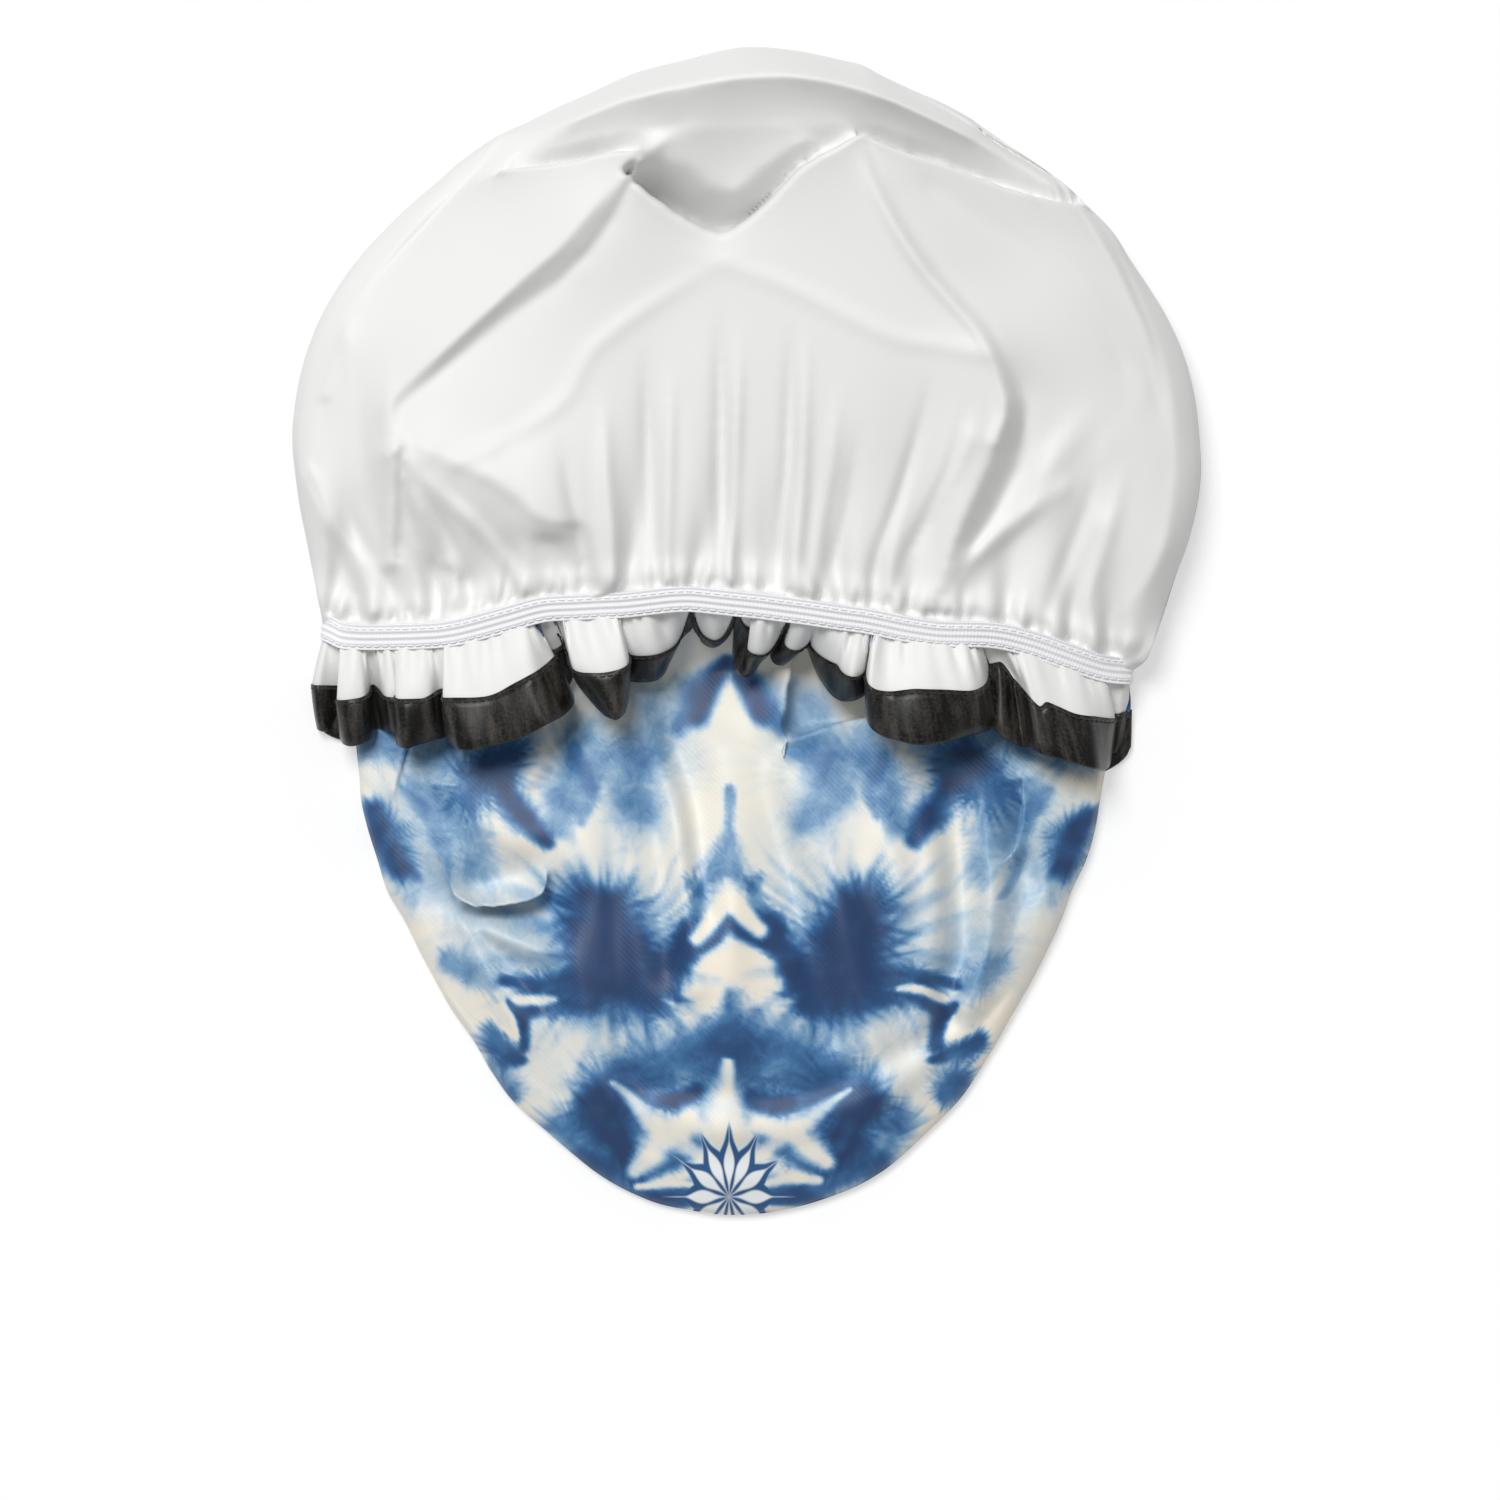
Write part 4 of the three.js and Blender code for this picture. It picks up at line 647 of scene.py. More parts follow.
# Fine steps of the cloth: cells across and along the front of each bag, and rows along its back
LINER_CELLS = (300, 200)
SATIN_CELLS = (250, 210)
BACK_ROWS = 15
FRILL_BACK_COLUMNS = 160
# Points along the ring where a bag or the frill meets it
EDGE_POINTS = 400
# The row of the frill's grid at which its binding starts
FRILL_BORDER = 5

# How a bag lies: heights of its sides at the ring and how they change along it, how far its front drops at
# its rim and how near the rim that starts, how far its lower side lies off the table and how wide it turns
LINER_SIDE = (19.0, 2.0)
SATIN_SIDE = (7.0, -2.0)
LINER_ROLL = (7.0, 9.0)
SATIN_ROLL = (2.5, 4.0)
LINER_UNDER = (0.3, 11.0)
SATIN_UNDER = (0.4, 6.0)
# Rows of the liner's sides that rise from the ring, and the rows that turn under at a rim: how far in each is
RISING_ROWS = 12
TURNED_UNDER = (0.0, 0.35, 1.2, 2.8, 5.2, 8.5, 12.5)
# How far the lower sides lie from the middle of the ring's back: the liner's outwards, the satin's down
LINER_SEAT = 0.9
SATIN_SEAT = 3.5

# A sheet is drawn tight in so many rounds, on a coarser sheet first while it has more cells than this each
# way. Then it is rounded off between its creases, and eased everywhere.
TIGHT_ROUNDS = 120
COARSEST = 24
LINER_ROUNDING = 3
SATIN_ROUNDING = 12
EASING = 5

# Gathers: how many, the seed of their draws, where they start and end across the cap, and how deep, how wide
# and how long they are. Those of the frill run all round it.
LINER_PLEATS = ((62, 11, (-138.0, 128.0), 3.8, 0.8, 9.0), (27, 5, (-136.0, 126.0), 6.4, 1.6, 36.0))
SATIN_PLEATS = ((40, 3, (-120.0, 112.0), 0.9, 1.2, 26.0), (18, 9, (-115.0, 105.0), 2.4, 3.4, 80.0))
FRILL_PLEATS = ((96, 7, 2.2, 1.2, 11.0), (48, 8, 2.0, 2.2, 24.0))

# The film puffs up beside the elastic: how high, how far from it and how wide
PUFF = (1.8, 6.0, 4.5)

# The frill: how far down the elastic's width and behind its face the front starts, how far its border and its
# hem keep off the satin below, how much of the stand of its lobes the hem has, how much it bends rather than
# folds at its border, how far it puffs, and its lowest place
FRILL_ROOT = (2.2, 0.8)
BORDER_LIFT = 3.5
HEM_LIFT = 2.2
HEM_STAND = 0.75
FRILL_BEND = 0.35
FRILL_PUFF = 1.2
FRILL_FLOOR = 1.7
# The frill's back: where it starts, its length as a share of the depth, its waves, and how much they sway
# sideways, lengthways and upwards
FRILL_BACK_ROOT = 2.6
FRILL_BACK_LENGTH = 0.95
FRILL_BACK_WAVES = 19
FRILL_BACK_SWAY = (1.4, 0.8, 0.5)
FRILL_BACK_HEIGHT = 2.3

# How far the frill's satin and the ribbon's two leaves lie from the frill's middle, where the ribbon folds
# past the hem, its wall, and how far across the ribbon's chart its face ends, its fold lies and its rear leaf
# starts and ends
BACKING_GAP = 0.4
BINDING_FRONT = 0.45
BINDING_REAR = 0.85
BINDING_FOLD = (0.6, -0.2)
BINDING_WALL = 0.25
BINDING_CHART = (16.0, 16.8, 17.6, 34.0)
# The elastic's wall, how far its face stands out, the count and the height of its ribs, how many points are
# drawn across it, and how far it rounds off at its edges
ELASTIC_WALL = 0.9
ELASTIC_LIFT = 0.75
ELASTIC_RIBS = 4
ELASTIC_RIB = 0.2
ELASTIC_POINTS = 33
ELASTIC_ROUND = 0.35

# Sewing: the pitch of the stitches in the elastic and in the binding, half the thread's width, how far it
# rides over the cloth and dips between two stitches, and the points drawn for a stitch and round the thread
ELASTIC_STITCH = 3.0
BINDING_STITCH = 2.6
THREAD = 0.22
THREAD_LIFT = 0.12
THREAD_DIP = 0.55
STITCH_STEPS = 8
THREAD_SIDES = 6

# The rows of stitches: how far from the elastic's middle, as a share of its width, and how far out of it.
# Those of the binding: how far from the border's row towards the next one, as a share of the way, then on
# which side of the frill's middle, and how far out.
ELASTIC_ROWS = {"elastic_stitch_upper": 0.34, "elastic_stitch_lower": -0.34}
ELASTIC_ROW_LIFT = 0.72
BINDING_ROW_PLACE = 0.4
BINDING_ROWS = {"binding_stitch_front": (1.0, 0.5), "binding_stitch_back": (-1.0, 0.9)}

# Points of a seam that are closer than this become one
SEAM = 0.02
THREAD_SEAM = 0.01

# The frill's cloth starts this far up the chart. Its dye is read from the same marks: mirrored at every pitch
# round the frill, and from this height above the pole, so many times as fast as down the frill.
FRILL_CHART = 400.0
FRILL_DYE_PITCH = 110.0
FRILL_DYE_UP = 70.0
FRILL_DYE_RATE = 2

# Waves of the dye: the seed and the pitch of each field, how far the first two shift it, how much the mottle
# changes a mark, and the tint of the plain cloth with its change
DYE_WAVES = {"across": (21, 34.0), "up": (22, 34.0), "mottle": (23, 9.0), "tint": (24, 50.0)}
DYE_SHIFT = 1.4
DYE_MOTTLE = 0.1
DYE_TINT = (0.06, 0.08)

# A random field has so many waves, of these shares of its pitch, and TURN is nearly a whole turn of one. A
# mark's edge has so many fingers round it, its spots are strung together at SPOT_PITCH, and it fades out
# between the shares MARK_EDGE of their reach.
WAVES = 24
WAVE_LENGTHS = (0.6, 1.8)
TURN = 6.28
FINGERS = 97
FINGER_REACH = 1.5
FINGER_MIDDLE = 0.2
SPOT_PITCH = 1.2
MARK_EDGE = (0.25, 1.5)


def linear(code):
    """The linear colour of an sRGB hex code such as "#F4F4F2"."""
    parts = [int(code[place : place + 2], 16) / 255 for place in (1, 3, 5)]
    turned = [part / 12.92 if part <= 0.04045 else ((part + 0.055) / 1.055) ** 2.4 for part in parts]
    return (*turned, 1.0)


def smooth(value, low, high):
    """0 below low, 1 above high and a smooth rise between them."""
    part = np.clip((value - low) / (high - low), 0.0, 1.0)
    return part * part * (3 - 2 * part)


def unit(vectors):
    """The vectors at a length of 1."""
    return vectors / np.maximum(np.linalg.norm(vectors, axis=-1, keepdims=True), 1e-9)


def square_to(width, along):
    """The part of each width that is square to its line, at a length of 1."""
    return unit(width - along * np.sum(width * along, axis=-1, keepdims=True))


def lengths_along(points):
    """How far along a line each of its points lies."""
    steps = np.linalg.norm(np.diff(points, axis=0), axis=1)
    return np.concatenate([[0.0], np.cumsum(steps)])


def read_along(where, along, rows):
    """Rows that lie along a line, read at other places of it."""
    return np.stack([np.interp(where, along, column) for column in np.asarray(rows).T], axis=-1)


def walked(points, shares):
    """Points at shares of the way along a line."""
    along = lengths_along(np.asarray(points, float)[:, :2])
    return read_along(np.asarray(shares) * along[-1], along, points)


def spaced(points, spacing):
    """A line's points, no further apart than the spacing."""
    length = lengths_along(np.asarray(points, float)[:, :2])[-1]
    return walked(points, np.linspace(0.0, 1.0, max(2, int(length / spacing) + 2)))


def curved(points, steps=6):
    """A smooth curve through the points, with so many steps between each two."""
    points = np.asarray(points, float)
    padded = np.concatenate([[2 * points[0] - points[1]], points, [2 * points[-1] - points[-2]]])
    before, start, stop, after = padded[:-3], padded[1:-2], padded[2:-1], padded[3:]
    rows = []
    for step in range(steps):
        part = step / steps
        straight = 2 * start + (stop - before) * part
        bent = (2 * before - 5 * start + 4 * stop - after) * part**2
        turned = (3 * start - before - 3 * stop + after) * part**3
        rows.append(0.5 * (straight + bent + turned))
    along = np.stack(rows, axis=1).reshape(-1, points.shape[1])
    return np.concatenate([along, points[-1:]])


def under_sight(points):
    """Points over the table moved under the line of sight, so that they are seen where the tables say."""
    points = np.array(points, float)
    middle = np.array(VIEW_MIDDLE)
    points[..., :2] = middle + (points[..., :2] - middle) * (1 - points[..., 2:3] / VIEW_HEIGHT)
    return points


def eased(count, share):
    """Shares from 0 to 1 that lie closer together at both ends."""
    part = np.linspace(0.0, 1.0, count)
    return part * (1 - share) + share * (1 - np.cos(np.pi * part)) / 2


def nearest_gaps(places, targets):
    """How far each place is from the nearest target, and which target that is. The places are taken in
    parts, so that the table of distances stays small."""
    gaps = np.empty(len(places))
    found = np.empty(len(places), int)
    step = max(1, 4_000_000 // len(targets))
    for start in range(0, len(places), step):
        part = places[start : start + step]
        apart = (part[:, 0:1] - targets[None, :, 0]) ** 2 + (part[:, 1:2] - targets[None, :, 1]) ** 2
        best = apart.argmin(1)
        found[start : start + step] = best
        gaps[start : start + step] = np.sqrt(apart[np.arange(len(part)), best])
    return gaps, found


def wander(chart, seed, pitch):
    """A soft random field over the cloth, about -1 to 1, in waves of about that pitch."""
    lows, highs = (0, WAVE_LENGTHS[0], 0), (TURN, WAVE_LENGTHS[1], TURN)
    total = np.zeros(chart.shape[:-1])
    for turn, length, phase in np.random.default_rng(seed).uniform(lows, highs, (WAVES, 3)):
        far = chart[..., 0] * np.cos(turn) + chart[..., 1] * np.sin(turn)
        total += np.sin(TURN * far / (length * pitch) + phase)
    return total / math.sqrt(WAVES)


def mark_share(across, up, spots, ragged, seed):
    """How much of a dye mark each place of the cloth gets: all within its spots, and fingers past them."""
    spots = spaced(spots, SPOT_PITCH)
    near = np.full(across.shape, np.inf)
    for spot in spots:
        near = np.minimum(near, np.hypot(across - spot[0], up - spot[1]) / spot[2])
    middle = spots[:, :2].mean(0)
    turn = np.arctan2(up - middle[1], across - middle[0])
    fingers = np.random.default_rng(seed).uniform(0.0, 1.0, FINGERS) ** 2
    fingers[-1] = fingers[0]
    longer = np.interp(turn, np.linspace(-math.pi, math.pi, FINGERS), fingers) - FINGER_MIDDLE
    return 1 - smooth(near / (1 + FINGER_REACH * ragged * longer), *MARK_EDGE)


def dyed(chart):
    """The share of indigo, 0 to 1, at each place of the satin."""
    waves = {name: wander(chart, seed, pitch) for name, (seed, pitch) in DYE_WAVES.items()}
    frill = chart[..., 1] >= FRILL_CHART
    repeated = np.abs((chart[..., 0] / FRILL_DYE_PITCH) % 2 - 1) * FRILL_DYE_PITCH
    across = np.where(frill, repeated, np.abs(chart[..., 0] - DYE_LINE))
    down_frill = FRILL_DYE_RATE * (chart[..., 1] - FRILL_CHART)
    up = np.where(frill, down_frill + FRILL_DYE_UP, np.abs(chart[..., 1] - DYE_POLE))
    across = np.abs(across + DYE_SHIFT * waves["across"])
    up = up + DYE_SHIFT * waves["up"]
    dye = np.clip(DYE_TINT[0] + DYE_TINT[1] * waves["tint"], 0.0, 1.0)
    for seed, (strength, ragged, spots) in enumerate(DYE_MARKS.values()):
        share = strength * mark_share(across, up, spots, ragged, seed) * (1 + DYE_MOTTLE * waves["mottle"])
        darker = dye + (1 - dye) * np.minimum(share, 1.0)
        dye = np.where(share > 0, darker, dye * (1 + np.maximum(share, -1.0)))
    return np.clip(dye, 0.0, 1.0)


def select_only(*pieces):
    """The pieces selected, and the first of them active."""
    for item in bpy.context.view_layer.objects:
        item.select_set(item in pieces)
    if pieces:
        bpy.context.view_layer.objects.active = pieces[0]


def smoothed(piece):
    """The piece with smooth shading."""
    select_only(piece)
    bpy.ops.object.shade_smooth()
    return piece


def cloth_grid(name, points, chart, flipped=False, tie_dye=False):
    """A grid of cloth laid on points in millimetres. The chart gives each point's flat place on the cut
    cloth, in millimetres, and becomes the UV map in metres. Tie-dyed cloth gets its share of indigo too."""
    rows, columns = points.shape[:2]
    select_only()
    bpy.ops.mesh.primitive_grid_add(x_subdivisions=columns - 1, y_subdivisions=rows - 1, size=1.0)
    piece = bpy.context.object
    piece.name = name
    mesh = piece.data
    mesh.name = name
    if len(mesh.vertices) != rows * columns:
        raise RuntimeError(f"{name}: the grid has {len(mesh.vertices)} points, not {rows * columns}")
    mesh.vertices.foreach_set("co", (points * MM).astype(np.float32).ravel())
    layer = mesh.uv_layers.active
    layer.name = "cloth"
    corners = np.zeros(len(mesh.loops), np.int32)
    mesh.loops.foreach_get("vertex_index", corners)
    flat = (chart * MM).reshape(-1, 2).astype(np.float32)
    layer.data.foreach_set("uv", flat[corners].ravel())
    if tie_dye:
        indigo = mesh.attributes.new("indigo", "FLOAT", "POINT")
        indigo.data.foreach_set("value", dyed(chart).astype(np.float32).ravel())
    if flipped:
        mesh.flip_normals()
    mesh.update()
    return piece


def joined(pieces, name, merge=0.0):
    """Pieces joined into one, with points closer than the merge distance made one point."""
    select_only(*pieces)
    whole = pieces[0]
    if len(pieces) > 1:
        bpy.ops.object.join()
    whole.name = name
    whole.data.name = name
    if merge > 0:
        bpy.ops.object.mode_set(mode="EDIT")
        bpy.ops.mesh.select_all(action="SELECT")
        bpy.ops.mesh.remove_doubles(threshold=merge * MM)
        bpy.ops.object.mode_set(mode="OBJECT")
    return whole


def closed_grid(name, points, chart, merge=SEAM, **looks):
    """A grid of cloth that is joined to itself where its sides meet."""
    return joined([cloth_grid(name, points, chart, **looks)], name, merge)


def thickened(piece, thickness):
    """The piece with a wall behind its faces."""
    select_only(piece)
    wall = piece.modifiers.new("wall", "SOLIDIFY")
    wall.thickness = thickness * MM
    wall.offset = -1.0
    bpy.ops.object.modifier_apply(modifier=wall.name)
    return smoothed(piece)


def dressed(piece, nodes, material):
    """The piece stands for its CAD nodes, rides on the cap's one body and gets its finish."""
    piece.data.materials.clear()
    piece.data.materials.append(material)
    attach(piece, "root")
    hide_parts(*nodes)


def flat_chart(around, down):
    """The chart of a grid whose columns lie so far around and whose rows lie so far down."""
    return np.stack(np.broadcast_arrays(around[None, :], down[:, None]), axis=-1)


def thread_row(name, line, out, pitch):
    """A closed row of stitches along a line: one thread that lies over the cloth for most of each stitch and
    dips into it between two."""
    closed = np.concatenate([line, line[:1]])
    along = lengths_along(closed)
    count = round(along[-1] / pitch) * STITCH_STEPS
    where = np.linspace(0.0, along[-1], count + 1)
    middle = read_along(where, along, closed)
    up = read_along(where, along, np.concatenate([out, out[:1]]))
    run = np.gradient(middle, axis=0)
    run[0] = run[-1] = run[0] + run[-1]
    side = unit(np.cross(run, up))
    dip = np.cos(np.pi * np.arange(count + 1) / STITCH_STEPS) ** 8
    middle = middle + up * (THREAD_LIFT - THREAD_DIP * dip)[:, None]
    turn = np.linspace(0.0, 2 * np.pi, THREAD_SIDES + 1)
    turned = turn[:, None, None]
    points = middle[None] + THREAD * (np.cos(turned) * up[None] + np.sin(turned) * side[None])
    return smoothed(closed_grid(name, points, flat_chart(where, THREAD * turn), THREAD_SEAM))


def elastic_width():
    """The full width of the elastic."""
    return bpy.context.scene.shower_cap_sizes.elastic_width / MM


def ring_height(place, back=False):
    """Height of the ring's middle at a place from its left end, 0, to its right end, 1."""
    power = RING_BACK_POWER if back else RING_RIM_POWER
    far = RING_FLOOR if back else RING_LOFT
    rim = np.power(np.clip(4 * place * (1 - place), 0.0, 1.0), power)
    return RING_SIDE_HEIGHT + (far - RING_SIDE_HEIGHT) * rim


def band_edge(table, x):
    """How far up the table an edge of the elastic lies at a place across the cap."""
    line = curved(table)
    return np.interp(x, line[:, 0], line[:, 1])


def ring_span():
    """The places across the cap of the ring's two ends."""
    return [(BAND_UPPER[end][0] + BAND_LOWER[end][0]) / 2 for end in (0, -1)]


def ring_place(x):
    """The share of the way across the ring at a place across the cap."""
    left, right = ring_span()
    return np.clip((x - left) / (right - left), 0.0, 1.0)


def ring_frames(places, back):
    """Frames of the ring at places from its left end, 0, to its right end, 1: its middle, the direction of
    its width, and the direction out of its face."""
    left, right = ring_span()
    x = left + (right - left) * places
    upper, lower = band_edge(BAND_UPPER, x), band_edge(BAND_LOWER, x)
    seen = upper - lower
    lean = np.minimum(np.sqrt(np.maximum(elastic_width() ** 2 - seen**2, 0.0)), RING_LEAN * seen)
    middle = under_sight(np.stack([x, (upper + lower) / 2, ring_height(places, back)], axis=-1))
    inner = smooth(np.minimum(places, 1 - places), 0.0, 0.05)
    if back:
        forward, down, more = RING_BACK_WIDTH
        width = (np.zeros_like(x), np.full_like(x, forward), down + more * (1 - inner))
    else:
        width = (np.zeros_like(x), seen, lean * inner)
    along = unit(np.gradient(middle, axis=0))
    width = square_to(np.stack(width, axis=-1), along)
    return middle, width, np.cross(along, width)


def evened(ring):
    """Each row of a closed ring, evened out with the rows beside it."""
    return (np.roll(ring, 1, axis=0) + 2 * ring + np.roll(ring, -1, axis=0)) / 4


def ring_loop():
    """The whole ring, closed: over the front from left to right and back below. Out points away from the
    hollow of the cap everywhere."""
    front_count, back_count = RING_COUNTS
    front = ring_frames(eased(front_count, 0.5), False)
    back = ring_frames(eased(back_count + 2, 0.5)[1:-1][::-1], True)
    middle, width = (np.concatenate([front[part], back[part]]) for part in (0, 1))
    ends = np.zeros(len(middle), bool)
    ends[:RING_ENDS] = ends[-RING_ENDS:] = True
    ends[front_count - RING_ENDS : front_count + RING_ENDS] = True
    place_rounds, width_rounds = RING_ROUNDS
    for _ in range(place_rounds):
        middle = np.where(ends[:, None], evened(middle), middle)
    along = unit(np.roll(middle, -1, axis=0) - np.roll(middle, 1, axis=0))
    for _ in range(width_rounds):
        width = evened(width)
    width = square_to(width, along)
    return middle, width, np.cross(along, width)


def patch(left, right, near, far, row_shares, column_shares):
    """A grid of places between four sides: near runs from the foot of left to the foot of right."""
    left_side, right_side = (walked(side, row_shares)[:, :2] for side in (left, right))
    near_side, far_side = (walked(side, column_shares)[:, :2] for side in (near, far))
    v = row_shares[:, None, None]
    u = column_shares[None, :, None]
    lower_corners = (1 - u) * near_side[0] + u * near_side[-1]
    upper_corners = (1 - u) * far_side[0] + u * far_side[-1]
    corners = (1 - v) * lower_corners + v * upper_corners
    sides = (1 - u) * left_side[:, None] + u * right_side[:, None]
    ends = (1 - v) * near_side[None] + v * far_side[None]
    return sides + ends - corners


def spread(values, points):
    """A few values spread evenly along a line, at each of its points."""
    along = lengths_along(points)
    stops = np.linspace(0.0, along[-1], len(values))
    return np.interp(along, stops, values)


def lip_and_foot(side, places, lips, feet, faces):
    """A folded edge as two lines: its lip, and the foot that the cloth drops to, on the left of the line's
    way where side is 1. Heights of both and widths of the drop, as it looks from above, are spread along
    the line. Each point has its place, how far the cloth is drawn in there, and its height."""
    points = spaced(places, LINE_PITCH)
    lip_height, foot_height, face = (spread(values, points) for values in (lips, feet, faces))
    run = unit(np.gradient(points, axis=0))
    away = side * np.stack([-run[:, 1], run[:, 0]], axis=-1)
    face = face[:, None]
    reach = np.maximum(face, FOOT_REACH)
    drop = np.clip((lip_height - foot_height) / FULL_DROP, 0.0, 1.0)[:, None]
    lip = np.concatenate([points, np.zeros_like(points), lip_height[:, None]], axis=1)
    drawn = np.minimum(face - reach, 0.0) * drop
    foot = np.concatenate([points + away * reach, away * drawn, foot_height[:, None]], axis=1)
    return lip, foot


def plain_line(places, heights):
    """A line of the cloth with its heights, spread along it, and no drawing in."""
    points = spaced(places, LINE_PITCH)
    return np.concatenate([points, np.zeros_like(points), spread(heights, points)[:, None]], axis=1)


def averaged(field):
    """Each place's mean of its four neighbours."""
    around = np.zeros_like(field)
    around[1:-1, 1:-1] = field[:-2, 1:-1] + field[2:, 1:-1] + field[1:-1, :-2] + field[1:-1, 2:]
    return around / 4


def held_by(plan, lines, cell):
    """Which places of a sheet lie on some of the lines, and what the nearest line says there: how far the
    cloth is drawn in, and its height."""
    rows, columns = plan.shape[:2]
    flat = plan.reshape(-1, 2)
    nearest = np.full(rows * columns, np.inf)
    said = np.zeros((rows * columns, 3))
    for line in lines:
        low, high = line[:, :2].min(0) - 2 * cell, line[:, :2].max(0) + 2 * cell
        inside = np.where(np.all((flat > low) & (flat < high), axis=1))[0]
        if not len(inside):
            continue
        gaps, found = nearest_gaps(flat[inside], line)
        closer = gaps < nearest[inside]
        nearest[inside[closer]] = gaps[closer]
        said[inside[closer]] = line[found[closer], 2:]
    return (nearest < HELD_NEAR * cell).reshape(rows, columns), said.reshape(rows, columns, 3)


def drawn_tight(field, held):
    """The field kept where it is held and drawn tight between: on a sheet half as fine first, which has
    its far parts settled by the time that the fine one is worked out."""
    rows, columns = held.shape
    if min(rows, columns) > COARSEST:
        down, over = (rows + 1) // 2, (columns + 1) // 2
        sums = np.zeros((2 * down, 2 * over, field.shape[2] + 1))
        sums[:rows, :columns, :-1] = field * held[..., None]
        sums[:rows, :columns, -1] = held
        sums = sums.reshape(down, 2, over, 2, -1).sum((1, 3))
        count = sums[..., -1:]
        coarse = drawn_tight(sums[..., :-1] / np.maximum(count, 1), count[..., 0] > 0)
        guess = coarse.repeat(2, axis=0).repeat(2, axis=1)[:rows, :columns]
        field = np.where(held[..., None], field, guess)
    for _ in range(TIGHT_ROUNDS):
        field = np.where(held[..., None], field, averaged(field))
    return field


def folded(plan, creases, swells, side_heights, rounding):
    """Heights and drawings in of a sheet that is held on its lines and sides and drawn tight between them,
    and how far each place is from the bag's rim. The swells are rounded off afterwards, so that they only
    lift the sheet."""
    rows, columns = plan.shape[:2]
    cell = np.linalg.norm(plan[rows // 2, columns // 2] - plan[rows // 2, columns // 2 + 1])
    sides = np.ones((rows, columns), bool)
    sides[1:-1, 1:-1] = False
    on_crease, crease_says = held_by(plan, creases, cell)
    on_crease &= ~sides
    free = ~(on_crease | sides)
    on_swell, swell_says = held_by(plan, swells, cell)
    on_swell &= free
    field = np.zeros((rows, columns, 3))
    field[on_swell] = swell_says[on_swell]
    field[on_crease] = crease_says[on_crease]
    field[..., 2][sides] = side_heights[sides]
    field = drawn_tight(field, sides | on_crease | on_swell)
    for _ in range(rounding):
        field[free] = averaged(field)[free]
    for _ in range(EASING):
        field = np.where(sides[..., None], field, (field + averaged(field)) / 2)
    rim = np.concatenate([plan[:, 0], plan[-1], plan[::-1, -1]])
    gap, _ = nearest_gaps(plan.reshape(-1, 2), rim)
    return field, gap.reshape(rows, columns)


def rolled(gap, drop, reach):
    """How much a bag's front drops beside its rim, so that it rolls over into the wall below."""
    part = 1 - np.clip(gap / reach, 0.0, 1.0)
    return -drop * (1 - np.sqrt(1 - part**2))


def ribbed(plan, ribs):
    """The relief of soft ridges and grooves that fade in from their far ends, where each starts."""
    flat = plan.reshape(-1, 2)
    total = np.zeros(len(flat))
    for height, width, points in ribs:
        line = spaced(curved(points), 1.0)
        gaps, found = nearest_gaps(flat, line)
        total += height * np.exp(-((gaps / width) ** 2)) * smooth(found / len(line), 0.0, 0.45)
    return total.reshape(plan.shape[:2])


def swelled(plan):
    """The relief of the film's soft swells and dips."""
    total = np.zeros(plan.shape[:2])
    for x, y, height in FILM_SWELLS:
        total += height * np.exp(-((plan[..., 0] - x) ** 2 + (plan[..., 1] - y) ** 2) / SWELL_SIZE**2)
    return total


def pleats(x, away, count, seed, span, depth, width, reach):
    """The small pleats that gathered cloth has beside its elastic: narrow grooves of many sizes that fade
    with the distance away."""
    chance = np.random.default_rng(seed)
    pitch = (span[1] - span[0]) / count
    centres = np.linspace(span[0], span[1], count) + chance.normal(0, 0.32, count) * pitch
    depths = depth * chance.uniform(0.35, 1.3, count)
    widths = width * chance.uniform(0.6, 1.5, count)
    reaches = reach * chance.uniform(0.4, 1.6, count)
    leans = chance.normal(0, 0.12, count)
    total = np.zeros_like(x)
    for centre, deep, wide, long, lean in zip(centres, depths, widths, reaches, leans):
        offset = (x - centre - lean * away) / (wide + 0.16 * away)
        total -= deep * np.exp(-(offset**2)) * np.exp(-((away / long) ** 1.5))
    return total


def bag_plan(outlines, near_edge, row_shares, column_shares):
    """Places of a bag's front, between its outlines and the edge at which it meets the ring."""
    left, right, far = (curved(table) for table in outlines)
    x = np.linspace(left[0, 0], right[0, 0], EDGE_POINTS)
    near = np.stack([x, near_edge(x)], axis=-1)
    near[0], near[-1] = left[0], right[0]
    return patch(left, right, near, far, row_shares, column_shares)


def fold_lines(lips, lines):
    """The lines that a bag's cloth is held on: creases, which stay sharp, and swells."""
    creases = [line for fold in lips.values() for line in lip_and_foot(*fold)]
    swells = [plain_line(*line) for line in lines.values()]
    return creases, swells


def side_rows(plan, row_shares, start, rise):
    """Heights of a bag's sides, from the ring to its far end."""
    return np.zeros(plan.shape[:2]) + start + rise * row_shares[:, None]


def front_and_rim(plan, field):
    """A bag's front as it lies, and its rim from the ring round the far end to the ring again."""
    front = under_sight(np.concatenate([plan + field[..., :2], field[..., 2:3]], axis=-1))
    return front, np.concatenate([front[:, 0], front[-1, 1:-1], front[::-1, -1]])


